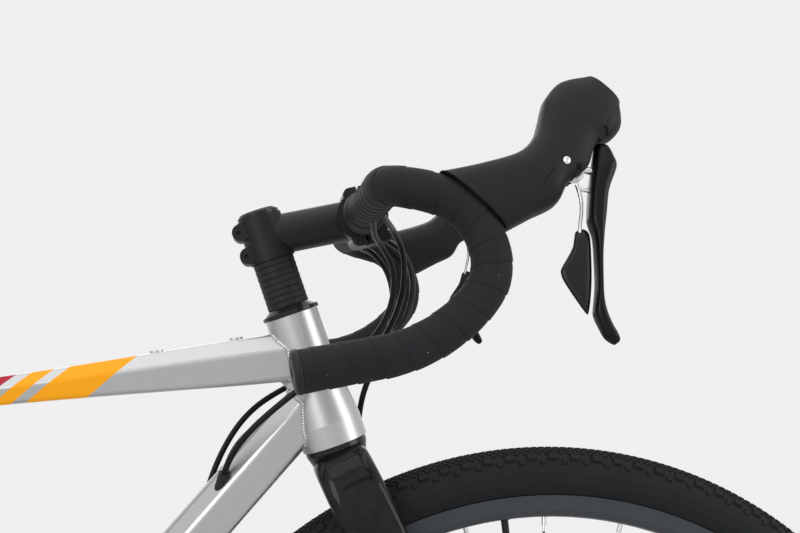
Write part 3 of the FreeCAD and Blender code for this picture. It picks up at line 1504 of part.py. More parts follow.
def front_derailleur_body():
    """Band round the seat tube with the pin that the cage swings on."""
    low = on_seat_tube(shifter_height - 7)
    high = on_seat_tube(shifter_height + 7)
    band = pipe(low, high, seat_tube_radius + 3.2, seat_tube_radius + snug_gap)
    root = on_seat_tube(shifter_height) + Vector(3, -(seat_tube_radius + 2.0), -2)
    neck = rod(root, shifter_pivot + AHEAD * -12, 5.0)
    pin = rod(shifter_pivot - AHEAD * 14, shifter_pivot + AHEAD * 12, 3.0)
    space = rod(low - seat_up * 30, high + seat_up * 30, seat_tube_radius + snug_gap)
    return band.fuse([neck, pin]).cut(space)


def ring_sector(inner_radius, outer_radius, start, end, y, thickness):
    """Slice of a flat ring round the crank axle between two angles."""
    middle = (start + end) / 2
    low = y - thickness / 2

    def spot(radius, degrees):
        return wheel_spot(bb_centre, radius, degrees, low)

    edges = [
        arc(spot(inner_radius, start), spot(inner_radius, middle), spot(inner_radius, end)),
        line(spot(inner_radius, end), spot(outer_radius, end)),
        arc(spot(outer_radius, end), spot(outer_radius, middle), spot(outer_radius, start)),
        line(spot(outer_radius, start), spot(inner_radius, start)),
    ]
    return Part.Face(Part.Wire(edges)).extrude(ACROSS * thickness)


def front_derailleur_cage():
    tip = sprocket_radius(big_ring_teeth) + tooth_height
    outer_y = -(chain_line + 7.2)
    inner_y = -(chain_line - 5.6)
    outer = ring_sector(tip + 5.5, tip + 21.0, 86, 118, outer_y, 1.6)
    inner = ring_sector(tip - 6.0, tip + 23.0, 82, 120, inner_y, 1.6)
    width = inner_y - outer_y
    rear = ring_sector(tip + 17.5, tip + 20.5, 113, 117, (inner_y + outer_y) / 2, width)
    front = ring_sector(tip + 17.5, tip + 20.5, 90, 95, (inner_y + outer_y) / 2, width)
    eye = rod(shifter_pivot - AHEAD * 6.2, shifter_pivot + AHEAD * 9, 6.0)
    foot = wheel_spot(bb_centre, tip + 19.0, 98, inner_y)
    arm = rod(shifter_pivot + AHEAD * 1.5, foot, 5.0)
    side_face = plate(box_corners(60, 60), 1.0, foot - ACROSS * (0.8 + 20.0), AHEAD, UP, 40.0)
    arm = arm.cut(side_face)
    cage = inner.fuse([outer, rear, front, eye, arm])
    return cage.cut(rod(shifter_pivot - AHEAD * 60, shifter_pivot + AHEAD * 60, 3.0 + running_fit))


# Seat
post_head = on_seat_tube(rail_height - 16.0)
rail_level = post_head.z + 20.0
saddle_middle = Vector(post_head.x, 0, rail_level)


def seatpost():
    start = on_seat_tube(seat_tube_length - seatpost_insert)
    tube = pipe(start, post_head, seatpost_diameter / 2, seatpost_diameter / 2 - seatpost_wall)
    head = rod(post_head - ACROSS * 19, post_head + ACROSS * 19, 13.0)
    return largest(tube.cut(head)).fuse(head)


def seat_collar():
    """Clamp round the top of the seat tube, closed by a bolt at the back."""
    low = on_seat_tube(seat_tube_length - 15.0)
    high = on_seat_tube(seat_tube_length)
    band = pipe(low, high, seat_tube_radius + 4.0, seat_tube_radius + snug_gap)
    lug_spot = (low + high) / 2 - seat_ahead * (seat_tube_radius + 7.0)
    lug = plate(box_corners(11, 13), 3.0, lug_spot, seat_ahead, seat_up, 16.0)
    slit = plate(box_corners(16, 20), 0.5, lug_spot, seat_ahead, seat_up, 2.0)
    space = rod(low - seat_up, high + seat_up, seat_tube_radius + snug_gap)
    bolt_hole = rod(lug_spot - ACROSS * 20, lug_spot + ACROSS * 20, 2.5 + snug_gap)
    collar = largest(band.fuse(lug).cut([space, slit, bolt_hole]))
    bolt = rod(lug_spot - ACROSS * 8, lug_spot + ACROSS * 8, 2.5).fuse(
        rod(lug_spot - ACROSS * 12, lug_spot - ACROSS * 8, 4.2))
    return [collar, bolt]


def saddle_rails():
    """Two bent rails and the clamp that holds them on the seatpost's round head."""
    rails = []
    half = rail_spacing / 2
    for side in (-1, 1):
        points = [
            saddle_middle + Vector(122, side * 9, 20),
            saddle_middle + Vector(88, side * 13, 10),
            saddle_middle + Vector(46, side * half, 0),
            saddle_middle + Vector(0, side * (half + 0.6), 0),
            saddle_middle + Vector(-46, side * half, 0),
            saddle_middle + Vector(-82, side * (half + 5), 12),
            saddle_middle + Vector(-106, side * (half + 9), 26),
        ]
        rails.append(cord(points, rail_diameter, "saddle rail"))
    cradle = plate(box_corners(44, 16), 3.0, saddle_middle + UP * -5.0, AHEAD, UP, 2 * half + 16)
    keeper = plate(box_corners(40, 7), 2.0, saddle_middle + UP * 7.3, AHEAD, UP, 2 * half + 16)
    rail_space = [rod(saddle_middle + Vector(-60, side * (half + 0.4), 0),
                      saddle_middle + Vector(60, side * (half + 0.4), 0), rail_diameter / 2 + 0.7)
                  for side in (-1, 1)]
    head_space = rod(post_head - ACROSS * 60, post_head + ACROSS * 60, 13.0 + seat_gap)
    bolts = []
    bolt_holes = []
    for ahead in (-1, 1):
        top = saddle_middle + Vector(ahead * 16, 0, 11)
        bolts.append(rod(top, top - UP * 22, 2.5).fuse(rod(top, top + UP * 3.0, 4.5)))
        bolt_holes.append(rod(top + UP * 2, top - UP * 22.5, 2.5 + snug_gap))
    cradle = cradle.cut(rail_space + [head_space] + bolt_holes)
    keeper = keeper.cut(rail_space + bolt_holes)
    return rails + [largest(cradle), largest(keeper)] + bolts


def saddle_stations():
    """Distance ahead of the clamp, width, height of the crown's edge, and depth of the pad, tail to nose."""
    tail = -saddle_length * 0.44
    nose = tail + saddle_length
    wide = saddle_width
    narrow = saddle_nose_width
    stack = saddle_stack
    return [
        (tail, 0.52 * wide, stack + 3.0, 9.0),
        (tail + 10, 0.84 * wide, stack + 6.0, 17.0),
        (tail + 42, wide, stack + 5.0, 21.0),
        (tail + 84, 0.80 * wide, stack + 1.0, 22.0),
        (tail + 130, 0.50 * (0.80 * wide + narrow), stack - 1.0, 21.0),
        (tail + 180, narrow + 8.0, stack, 20.0),
        (nose - 40, narrow, stack + 1.0, 19.0),
        (nose - 8, narrow - 6.0, stack - 1.0, 16.0),
        (nose, narrow - 20.0, stack - 5.0, 9.0),
    ]


def pad_wire(ahead, width, crown, depth, channel):
    """Pad section: flat base, drawn-in sides, and a crown on each side of the middle channel."""
    half = width / 2
    base = crown - depth

    def spot(y, z):
        return saddle_middle + Vector(ahead, y, z)

    low = 0.86 * half
    edge = spot(half, base + 0.52 * depth)
    left_edge = spot(-half, base + 0.52 * depth)
    dip = spot(0, crown - channel)
    return Part.Wire([
        line(spot(-low, base), spot(low, base)),
        arc(spot(low, base), spot(0.965 * half, base + 0.22 * depth), edge),
        arc(edge, spot(0.62 * half, crown - 0.04 * depth), dip),
        arc(dip, spot(-0.62 * half, crown - 0.04 * depth), left_edge),
        arc(left_edge, spot(-0.965 * half, base + 0.22 * depth), spot(-low, base)),
    ])


channel_depths = [1.0, 1.5, 3.0, 4.0, 4.0, 3.0, 1.5, 1.0, 0.6]


def saddle_pad():
    return lofted([pad_wire(*station, channel) for station, channel in zip(saddle_stations(), channel_depths)])


def saddle_shell():
    """Thin moulded base under the pad, with a pocket for each end of the rails."""
    wires = []
    thickness = 3.2
    for ahead, width, crown, depth in saddle_stations():
        half = 0.80 * width / 2
        top = crown - depth - snug_gap
        spots = [saddle_middle + Vector(ahead, y, z)
                 for y, z in [(-half, top - thickness), (half, top - thickness), (half, top), (-half, top)]]
        wires.append(Part.makePolygon(spots + [spots[0]]))
    shell = lofted(wires)
    pockets = [plate(box_corners(22, 16), 4.0, saddle_middle + Vector(120, 0, 20), AHEAD, UP, 34.0)]
    for side in (-1, 1):
        spot = saddle_middle + Vector(-104, side * (rail_spacing / 2 + 9), 25)
        pockets.append(plate(box_corners(20, 18), 4.0, spot, AHEAD, UP, 18.0))
    return shell, pockets


# Axles, bosses and cables
def thru_axle(axle, reach):
    """Threaded axle through hub and dropouts, with a socket head on the left."""
    start = axle - ACROSS * (reach + 1.0)
    end = axle + ACROSS * reach
    body = rod(start, end, axle_radius).fuse(rod(end, end + ACROSS * 4.5, axle_head_radius))
    return body.cut(rod(end + ACROSS * 0.5, end + ACROSS * 6, 3.0))


def skin_spot(tube, origin, direction):
    """Where a line from inside a tube leaves its outer face."""
    probe = tube.common(line(origin, origin + direction * 80))
    return max((v.Point for v in probe.Vertexes), key=lambda p: (p - origin).Length)


def boss(tube, origin, direction):
    """Flanged threaded insert on a tube, and the hole that it sits in."""
    face = skin_spot(tube, origin, direction) + direction * running_fit
    barrel_radius = 4.2
    flange_radius = 5.6
    insert = rod(face - direction * 10, face + direction * 1.6, barrel_radius)
    insert = insert.fuse(rod(face, face + direction * 1.6, flange_radius))
    insert = insert.cut(rod(face - direction * 11, face + direction * 3, boss_thread / 2))
    hole = rod(face - direction * 12, face, barrel_radius + snug_gap)
    return insert, hole.fuse(rod(face, face + direction * 3, flange_radius + snug_gap))


boss_thread = 4.2
boss_spacing = 64.0
boss_height = 190.0
down_boss_distance = 260.0
top_boss_distance = 54.0


def hose_spot(ahead, y, up):
    return Vector(bar_clamp.x + ahead, y, bar_clamp.z + up)


port_distance = 100.0
port_step = 22.0


def port_spot(main, along, side):
    """Middle of the slanted upper facet of the down tube, and the direction a hose enters it."""
    heading = unit(main["down_run"])
    centre = main["down_start"] + heading * along
    facet_y = 0.37 * down_tube_width
    facet_up = 0.33 * down_tube_height
    entry = unit(heading * 0.86 - main["down_up"] * 0.42 - ACROSS * (side * 0.30))
    return centre + main["down_up"] * facet_up + ACROSS * (side * facet_y), entry


def port(spot, entry):
    """Grommet set in a tube where a hose goes inside, and the hole for it."""
    start = spot - entry * 6.0
    end = spot + entry * 9.0
    return rod(start, end, 4.6), rod(start - entry * 3, end + entry * 0.5, 4.6 + snug_gap), start


front_rotor_y = front_spacing / 2 - front_rotor_inset
rear_rotor_y = rear_spacing / 2 - rear_rotor_inset


def hub_profile(left_end, right_end, right_radius, flanges, rotor_y):
    """Hub section from its left end to its right end as radius and place along the axle."""
    bore = axle_radius + running_fit
    half = flange_thickness / 2
    left, right = flanges
    neck = 12.0
    return [
        (bore, left_end),
        (hub_end_radius, left_end),
        (hub_end_radius, rotor_y + 4.0),
        (rotor_seat_radius, rotor_y + 3.0),
        (rotor_seat_radius, left + half),
        (hub_flange_radius, left + half),
        (hub_flange_radius, left - half),
        (neck + 3.0, left - half),
        (neck, left - half - 9.0),
        (neck, right + half + 9.0),
        (neck + 3.0, right + half),
        (hub_flange_radius, right + half),
        (hub_flange_radius, right - half),
        (right_radius, right - half),
        (right_radius, right_end),
        (bore, right_end),
    ]


def rotor_ring(axle, rotor_y):
    """Lockring that holds the rotor on the hub's seat."""
    near = axle + ACROSS * (rotor_y + rotor_thickness / 2 + snug_gap)
    return pipe(near, near + ACROSS * 1.8, rotor_seat_radius + 5.0, rotor_seat_radius + snug_gap)


def stop(point, heading, holder, length, radius):
    """Barrel on the outside of a tube where a hose goes in, trimmed to the tube."""
    return largest(rod(point + heading * length, point, radius).cut(holder))


def steering_hoses(main):
    """Hoses from the levers to the down tube's ports, and the grommet and hole of each port."""
    runs = [
        ("rear brake hose", port_distance, 1,
         [(16, -64, -11), (20, -38, -14), (27, -14, -34), (26, 6, -70), (10, 24, -106), (-22, 36, -130),
          (-58, 38, -150)]),
        ("rear shift housing", port_distance + port_step, 1,
         [(4, -66, -20), (9, -41, -25), (18, -18, -44), (17, 2, -74), (2, 17, -101), (-27, 28, -119),
          (-62, 30, -134), (-94, 29, -158)]),
        ("front shift housing", port_distance, -1,
         [(16, 64, -11), (22, 38, -14), (34, 16, -32), (36, -4, -66), (20, -22, -100), (-14, -34, -126),
          (-50, -37, -146)]),
    ]
    hoses = []
    grommets = []
    holes = []
    for name, along, side, route in runs:
        spot, entry = port_spot(main, along, side)
        grommet, hole, mouth = port(spot, entry)
        points = [hose_spot(*place) for place in route]
        hoses.append(cord(points + [mouth - entry * 24.0, mouth], hose_diameter, name))
        grommets.append(grommet)
        holes.append(hole)
    return hoses, grommets, holes


def frame_hoses(rear_solids, seat_outside):
    """Short hoses at the back of the frame and the stops that they leave from."""
    def at(ahead, y, up):
        return rear_axle + Vector(ahead, y, up)

    loop = [at(68, -86.0, -13), at(47, -88.2, -20), at(26, -89, -28.5), at(4, -86.2, -34.5)]
    brake = [at(86.9, 62, 38.5), at(104, 62, 46), at(128, 61.5, 41), at(148, 61, 24), at(160, 60.5, 3)]
    rise = [on_seat_tube(104) + Vector(-7, -19.6, 0), on_seat_tube(126) + Vector(-9, -24.5, 0),
            on_seat_tube(148) + Vector(-8, -26, 0), on_seat_tube(165) + Vector(-5, -24.6, 0)]
    hoses = [
        cord(loop, hose_diameter, "rear derailleur housing"),
        cord(brake, hose_diameter, "rear caliper hose"),
        cord(rise, hose_diameter, "front derailleur housing"),
    ]
    stops = [
        stop(loop[0], unit(loop[0] - loop[1]), rear_solids, 14.0, 4.8),
        stop(brake[-1], unit(brake[-1] - brake[-2]), rear_solids, 24.0, 4.2),
        stop(rise[0], unit(rise[0] - rise[1]), [seat_outside], 12.0, 4.2),
    ]
    return hoses, stops


def front_brake_hose(fork_solid):
    """Hose from the left lever into the left fork leg, its grommet and hole, and the run out to the caliper."""
    route = [(5, 70, -20), (12, 46, -25), (20, 31, -47), (23, 25, -79), (20, 22, -111), (14, 23, -141),
             (10, 36, -172), (9, 50, -199)]
    points = [hose_spot(*place) for place in route]
    mouth = hose_spot(11, 56, -226)
    entry = unit(Vector(0.28, -0.62, -0.73))
    grommet = rod(mouth, mouth + entry * 14.0, 4.6)
    hole = rod(mouth, mouth + entry * 14.5, 4.6 + snug_gap)
    upper = cord(points + [mouth], hose_diameter, "front brake hose")
    places = [(-80.2, 42, 50.1), (-95, 43, 60.5), (-103, 45, 83), (-94, 49, 106), (-77, 52, 123)]
    lower = cord([front_axle + Vector(*place) for place in places], hose_diameter, "front caliper hose")
    return [upper, grommet, largest(lower.cut(fork_solid))], hole


# Every piece, with the holes that depend on its neighbours
main = main_triangle()
rear_solids = rear_triangle(main)
hoses, grommets, port_holes = steering_hoses(main)
short_hoses, hose_stops = frame_hoses(rear_solids, main["seat_outside"])
down_heading = unit(main["down_run"])
top_heading = unit(main["top_run"])
inserts = []
insert_holes = {"down_tube": [], "seat_tube": [], "top_tube": []}
for i in range(2):
    for tube_name, origin, direction in [
        ("down_tube", main["down_start"] + down_heading * (down_boss_distance + i * boss_spacing), main["down_up"]),
        ("seat_tube", on_seat_tube(boss_height + i * boss_spacing), seat_ahead),
        ("top_tube", main["top_start"] + top_heading * (top_boss_distance + i * boss_spacing), main["top_up"]),
    ]:
        insert, insert_hole = boss(main[tube_name], origin, direction)
        inserts.append(insert)
        insert_holes[tube_name].append(insert_hole)

save("head_tube", [main["head_tube"], main["gusset"]])
save("top_tube", [largest(main["top_tube"].cut(insert_holes["top_tube"]))])
save("down_tube", [largest(main["down_tube"].cut(insert_holes["down_tube"] + port_holes))])
save("seat_tube", [largest(main["seat_tube"].cut(insert_holes["seat_tube"])), main["bb_shell"]])
save("rear_triangle", rear_solids)
save("seat_collar", seat_collar())
save("headset_bearings", headset_bearings())
save("boss_inserts", inserts)
save("bottom_bracket_cups", bottom_bracket_cups())
save("cable_grommets", grommets + hose_stops)
save("cable_housings", hoses + short_hoses)
rear_reach = rear_spacing / 2 + dropout_thickness
save("rear_thru_axle", [thru_axle(rear_axle, rear_reach)])
rear_feet = [(Vector(72, 67, 22), Vector(72, 67, -8)), (Vector(84, 67, 26), Vector(84, 67, -8))]
save("rear_caliper", caliper(rear_axle, 30.0, rear_rotor_y, rear_feet, rear_solids))

fork_solid = fork()[0]
front_hose, fork_hole = front_brake_hose(fork_solid)
save("fork", [fork_solid.cut(fork_hole)])
save("front_brake_hose", front_hose)
save("headset_covers", headset_covers())
save("headset_spacers", headset_spacers())
stem_solids, faceplate_solids = stem()
save("stem", stem_solids)
save("stem_faceplate", faceplate_solids)
save("handlebar", handlebar())
save("front_thru_axle", [thru_axle(front_axle, front_reach)])
front_feet = [(Vector(-54, 50.5, 55 - shift), Vector(-54, 50.5, 55 - shift) + leg_ahead * 34) for shift in (0, 20)]
save("front_caliper", caliper(front_axle, 148.0, front_rotor_y, front_feet, [fork_solid]))

lever = lever_set()
plug = end_plug()
save("bar_tape", [lever["tape"], mirrored(lever["tape"]), plug, mirrored(plug)])
save("lever_hoods", [lever["hood"], mirrored(lever["hood"])])
save("lever_brackets", lever["bracket"] + [mirrored(solid) for solid in lever["bracket"]])
for node, piece in (("lever_yoke", "yoke"), ("brake_lever", "blade"), ("shift_paddle", "paddle")):
    save("right_" + node, [lever[piece]])
    save("left_" + node, [mirrored(lever[piece])])

cage_angle, pins = closed_chain()
cog_phase = phase_on(rear_axle, pins, sprocket_radius(cog_teeth[driven_cog]))
cassette_solids, cassette_inner = cassette(cog_phase)
wheels = [
    ("front", front_axle, front_flanges, front_rotor_y, front_spacing / 2 - seat_gap, seat_gap - front_spacing / 2,
     hub_end_radius + 4.0),
    ("rear", rear_axle, rear_flanges, rear_rotor_y, rear_spacing / 2 - seat_gap, cassette_inner + seat_gap, 15.0),
]
for end, axle, flanges, rotor_y, left_end, right_end, right_radius in wheels:
    spoke_solids, nipple_lines = spokes(axle, flanges, spoke_hole_radius)
    profile = hub_profile(left_end, right_end, right_radius, flanges, rotor_y)
    save(end + "_hub", [hub(axle, profile, flanges, spoke_hole_radius)])
    save(end + "_rim", [rim(axle, nipple_lines)])
    save(end + "_spokes", spoke_solids)
    save(end + "_tyre", [tyre(axle)])
    save(end + "_rotor", [rotor(axle, rotor_y, rotor_seat_radius + snug_gap), rotor_ring(axle, rotor_y)])

save("cassette", cassette_solids)
save("chain", chain(pins))
save("chainrings", chainrings(phase_on(bb_centre, pins, sprocket_radius(big_ring_teeth))))
save("right_crank", [right_crank()])
save("left_crank", [left_crank()])
save("right_pedal", [pedal(-1)])
save("left_pedal", [pedal(1)])
body_solids, link_solids, knuckle_solids = rear_derailleur()
save("rear_derailleur_body", body_solids)
save("rear_derailleur_links", link_solids)
save("rear_derailleur_knuckle", knuckle_solids)
save("rear_derailleur_cage", derailleur_cage(cage_angle))
tension_spot = tension_centre(cage_angle)
pulley_radius = sprocket_radius(pulley_teeth)
save("guide_pulley", [pulley(guide_centre, phase_on(guide_centre, pins, pulley_radius))])
save("tension_pulley", [pulley(tension_spot, phase_on(tension_spot, pins, pulley_radius))])
save("front_derailleur_body", [front_derailleur_body()])
save("front_derailleur_cage", [front_derailleur_cage()])

save("seatpost", [seatpost()])
rails = saddle_rails()
pad = saddle_pad()
shell, pockets = saddle_shell()
save("saddle_rails", rails)
save("saddle_shell", [largest(shell.fuse(pockets).cut(rails[:2] + [pad]))])
save("saddle_pad", [pad])
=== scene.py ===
import math

import bmesh
import bpy
from mathutils import Matrix, Vector, noise
from mathutils.bvhtree import BVHTree


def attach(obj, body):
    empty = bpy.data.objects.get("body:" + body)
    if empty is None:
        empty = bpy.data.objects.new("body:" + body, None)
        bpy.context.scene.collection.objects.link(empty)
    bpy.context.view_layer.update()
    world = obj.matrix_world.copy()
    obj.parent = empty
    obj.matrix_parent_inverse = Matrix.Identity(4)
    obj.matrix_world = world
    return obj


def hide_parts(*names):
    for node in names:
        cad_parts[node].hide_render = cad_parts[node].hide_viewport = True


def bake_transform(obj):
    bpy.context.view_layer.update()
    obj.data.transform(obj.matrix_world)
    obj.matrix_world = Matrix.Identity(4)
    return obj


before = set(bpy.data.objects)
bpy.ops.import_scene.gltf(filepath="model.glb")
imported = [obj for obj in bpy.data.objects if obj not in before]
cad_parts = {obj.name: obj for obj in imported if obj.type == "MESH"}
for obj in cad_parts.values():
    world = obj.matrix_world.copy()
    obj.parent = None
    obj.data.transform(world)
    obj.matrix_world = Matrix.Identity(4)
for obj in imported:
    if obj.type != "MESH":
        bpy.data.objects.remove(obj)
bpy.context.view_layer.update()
print("frame loaded:", len(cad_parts), "nodes")

# main points in millimetres: X ahead, Y to the left, Z up
bike = {"tyreRadius": 355.0, "wheelbase": 1025.0, "chainstay": 430.0, "bbDrop": 70.0, "headAngle": 71.0,
        "seatAngle": 74.0, "forkOffset": 47.0, "stemMiddle": 574.5, "stemRise": 12.0, "stemLength": 80.0,
        "headBottom": 397.0, "headLength": 110.0, "headTopRadius": 22.0, "headBottomRadius": 27.0,
        "seatTubeRadius": 16.5, "shellRadius": 21.0, "topTubeJoint": 457.0, "saddleClamp": 644.0}
metre = 0.001


def slope(degrees):
    return math.cos(math.radians(degrees)), math.sin(math.radians(degrees))


rearAxle = Vector((-bike["wheelbase"] / 2, 0, bike["tyreRadius"]))
frontAxle = Vector((bike["wheelbase"] / 2, 0, bike["tyreRadius"]))
bbCentre = rearAxle + Vector((math.sqrt(bike["chainstay"] ** 2 - bike["bbDrop"] ** 2), 0, -bike["bbDrop"]))
headCos, headSin = slope(bike["headAngle"])
seatCos, seatSin = slope(bike["seatAngle"])
steerUp = Vector((-headCos, 0, headSin))
steerAhead = Vector((headSin, 0, headCos))
seatUp = Vector((-seatCos, 0, seatSin))
steerFoot = frontAxle - steerAhead * bike["forkOffset"]
riseCos, riseSin = slope(bike["stemRise"])
barClamp = steerFoot + steerUp * bike["stemMiddle"] + Vector((riseCos, 0, riseSin)) * bike["stemLength"]


def addObject(name, data):
    made = bpy.data.objects.new(name, data)
    bpy.context.scene.collection.objects.link(made)
    return made


def addMesh(name, points, faces, material=None, smooth=True):
    mesh = bpy.data.meshes.new(name)
    mesh.from_pydata([tuple(p * metre) for p in points], [], faces)
    mesh.validate()
    if smooth:
        mesh.shade_smooth()
    if material:
        mesh.materials.append(material)
    return addObject(name, mesh)


def plainMesh(piece):
    depsgraph = bpy.context.evaluated_depsgraph_get()
    return bpy.data.meshes.new_from_object(piece.evaluated_get(depsgraph))


def baked(piece):  # modifiers made part of a plain mesh
    mesh = plainMesh(piece)
    piece.modifiers.clear()
    piece.data = mesh
    return piece


def fixNormals(piece):
    work = bmesh.new()
    work.from_mesh(piece.data)
    bmesh.ops.remove_doubles(work, verts=work.verts, dist=1e-6)
    bmesh.ops.recalc_face_normals(work, faces=work.faces)
    work.to_mesh(piece.data)
    work.free()
    return piece


def loft(name, sections, material, closed=False):  # skin over rings of points, with end caps or closed to a loop
    points = [p for ring in sections for p in ring]
    count, size = len(sections), len(sections[0])
    faces = []
    for i in range(count if closed else count - 1):
        n = (i + 1) % count
        faces += [(i * size + k, i * size + (k + 1) % size, n * size + (k + 1) % size, n * size + k)
                  for k in range(size)]
    if not closed:
        faces.append(tuple(reversed(range(size))))
        faces.append(tuple(range(len(points) - size, len(points))))
    return fixNormals(addMesh(name, points, faces, material))


def joined(name, pieces):
    work = bmesh.new()
    materials = []
    for piece in pieces:
        slots = []
        for material in piece.data.materials:
            if material not in materials:
                materials.append(material)
            slots.append(materials.index(material))
        first = len(work.faces)
        work.from_mesh(piece.data)
        work.faces.ensure_lookup_table()
        for face in work.faces[first:]:
            face.material_index = slots[face.material_index] if slots else 0
        bpy.data.objects.remove(piece)
    mesh = bpy.data.meshes.new(name)
    work.to_mesh(mesh)
    work.free()
    for material in materials:
        mesh.materials.append(material)
    return addObject(name, mesh)


def sharpen(piece, degrees=35):  # smooth faces with crisp edges
    piece.data.shade_smooth()
    piece.data.set_sharp_from_angle(angle=math.radians(degrees))
    return piece


def place(piece, body, nodes=()):
    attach(piece, body)
    if nodes:
        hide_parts(*nodes)
    return piece


# node graphs: one class for a value on a wire, one for the graph it belongs to
class Wire:
    def __init__(self, graph, socket):
        self.graph = graph
        self.socket = socket

    def maths(self, operation, *values):
        return self.graph.node("ShaderNodeMath", {"operation": operation}, dict(enumerate(values)))

    def __add__(self, other):
        return self.maths("ADD", self, other)

    def __sub__(self, other):
        return self.maths("SUBTRACT", self, other)

    def __rsub__(self, other):
        return self.maths("SUBTRACT", other, self)

    def __mul__(self, other):
        return self.maths("MULTIPLY", self, other)

    def __truediv__(self, other):
        return self.maths("DIVIDE", self, other)

    def __gt__(self, other):
        return self.maths("GREATER_THAN", self, other)

    def __lt__(self, other):
        return self.maths("LESS_THAN", self, other)

    __radd__ = __add__
    __rmul__ = __mul__


class Graph:
    def __init__(self, tree):
        self.tree = tree

    def node(self, kind, settings=None, sockets=None, out=0):
        made = self.tree.nodes.new(kind)
        for key, value in (settings or {}).items():
            setattr(made, key, value)
        for key, value in (sockets or {}).items():
            self.put(made.inputs[key], value)
        return Wire(self, made.outputs[out])

    def put(self, socket, value):
        if isinstance(value, Wire):
            self.tree.links.new(value.socket, socket)
        else:
            socket.default_value = value


class Finish(Graph):
    words = {"colour": "Base Color", "roughness": "Roughness", "metallic": "Metallic", "coat": "Coat Weight",
             "coatRoughness": "Coat Roughness", "normal": "Normal", "specular": "Specular IOR Level",
             "alpha": "Alpha"}

    def __init__(self, name, **constants):
        self.material = bpy.data.materials.new(name)
        self.material.use_nodes = True
        super().__init__(self.material.node_tree)
        self.tree.nodes.clear()
        self.shader = self.tree.nodes.new("ShaderNodeBsdfPrincipled")
        output = self.tree.nodes.new("ShaderNodeOutputMaterial")
        self.tree.links.new(self.shader.outputs[0], output.inputs[0])
        self.spot = self.node("ShaderNodeTexCoord", out=3)
        self.paint(**constants)

    def paint(self, **values):
        for key, value in values.items():
            self.put(self.shader.inputs[self.words[key]], value)
        return self.material

    def grain(self, scale, detail=2.0, spread=0.5, stretch=None):
        spot = self.spot
        if stretch:
            spot = self.node("ShaderNodeMapping", None, {"Vector": spot, "Scale": stretch})
        return self.node("ShaderNodeTexNoise", None,
                         {"Vector": spot, "Scale": scale, "Detail": detail, "Roughness": spread})

    def cells(self, scale, out=0, feature="F1"):
        return self.node("ShaderNodeTexVoronoi", {"feature": feature}, {"Vector": self.spot, "Scale": scale}, out)

    def blend(self, first, second, factor):
        return self.node("ShaderNodeMix", {"data_type": "RGBA"}, {0: factor, 6: first, 7: second}, 2)

    def bump(self, height, depth, strength):
        return self.node("ShaderNodeBump", None, {"Height": height, "Distance": depth, "Strength": strength})


def grey(level, warm=0.0):
    return (level * (1 + warm), level, level * (1 - warm), 1.0)


# lacquered silver tubes, with slanted orange and red bands on the top tube
silverLook = {"pale": grey(0.48, -0.012), "dark": grey(0.38, -0.012), "flake": 2600.0,
              "orange": (1.0, 0.40, 0.0, 1.0), "red": (0.42, 0.0, 0.022, 1.0), "lean": 1.15, "lift": 0.775,
              "bands": [("orange", 0.126, 0.168), ("orange", 0.102, 0.116), ("red", 0.078, 0.092),
                        ("orange", 0.060, 0.067)]}


def silver(name, banded=False):
    finish = Finish(name, coatRoughness=0.12, specular=0.25)
    look = silverLook
    flake = finish.grain(look["flake"], 2.0, 0.7)
    cloud = finish.grain(18.0, 3.0)
    colour = finish.blend(look["dark"], look["pale"], 0.25 + 0.6 * flake + 0.2 * cloud)
    metal = 0.80 + 0.1 * flake
    coat = 0.35 + 0.1 * cloud
    rough = 0.30 + 0.10 * flake
    if banded:
        x, z = [finish.node("ShaderNodeSeparateXYZ", None, {"Vector": finish.spot}, axis) for axis in "XZ"]
        along = x + look["lean"] * (look["lift"] - z)
        for shade, low, high in look["bands"]:
            band = (along > low) * (along < high)
            colour = finish.blend(colour, look[shade], band)
            metal = metal * (1 - band)
            coat = coat * (1 - 0.8 * band)
            rough = rough + 0.25 * band
    normal = finish.bump(flake, 0.00002, 0.35)
    return finish.paint(colour=colour, metallic=metal, roughness=rough, coat=coat, normal=normal)


def carbonBlack():
    finish = Finish("forkGlossBlack", coatRoughness=0.04, specular=0.06)
    fleck = finish.cells(170.0, 1)
    shade = finish.node("ShaderNodeSeparateColor", None, {"Color": fleck})
    cloud = finish.grain(26.0, 4.0, 0.6)
    colour = finish.blend(grey(0.003), grey(0.012, -0.08), shade * 0.55 + cloud * 0.5)
    return finish.paint(colour=colour, roughness=0.28 + 0.2 * shade, coat=0.28 + 0.06 * cloud)


def satinBlack(name, level, rough, grainSize=2200.0, depth=0.00003, specular=0.26):
    finish = Finish(name, specular=specular)
    grit = finish.grain(grainSize, 2.0, 0.6)
    wear = finish.grain(40.0, 3.0)
    colour = finish.blend(grey(level * 0.8, -0.11), grey(level * 1.5, -0.11), 0.6 * wear + 0.4 * grit)
    rough = rough - 0.06 + 0.12 * wear + 0.06 * grit
    return finish.paint(colour=colour, roughness=rough, normal=finish.bump(grit, depth, 0.5))


def steelLook(name, level=0.58, rough=0.26, stretch=(1.0, 6.0, 1.0), scale=900.0):
    finish = Finish(name, metallic=1.0)
    brush = finish.grain(scale, 3.0, 0.6, stretch)
    stain = finish.grain(60.0, 3.0)
    colour = finish.blend(grey(level * 0.82), grey(level * 1.08), 0.5 * brush + 0.5 * stain)
    rough = rough + 0.12 * brush + 0.05 * stain
    return finish.paint(colour=colour, roughness=rough, normal=finish.bump(brush, 0.00002, 0.3))


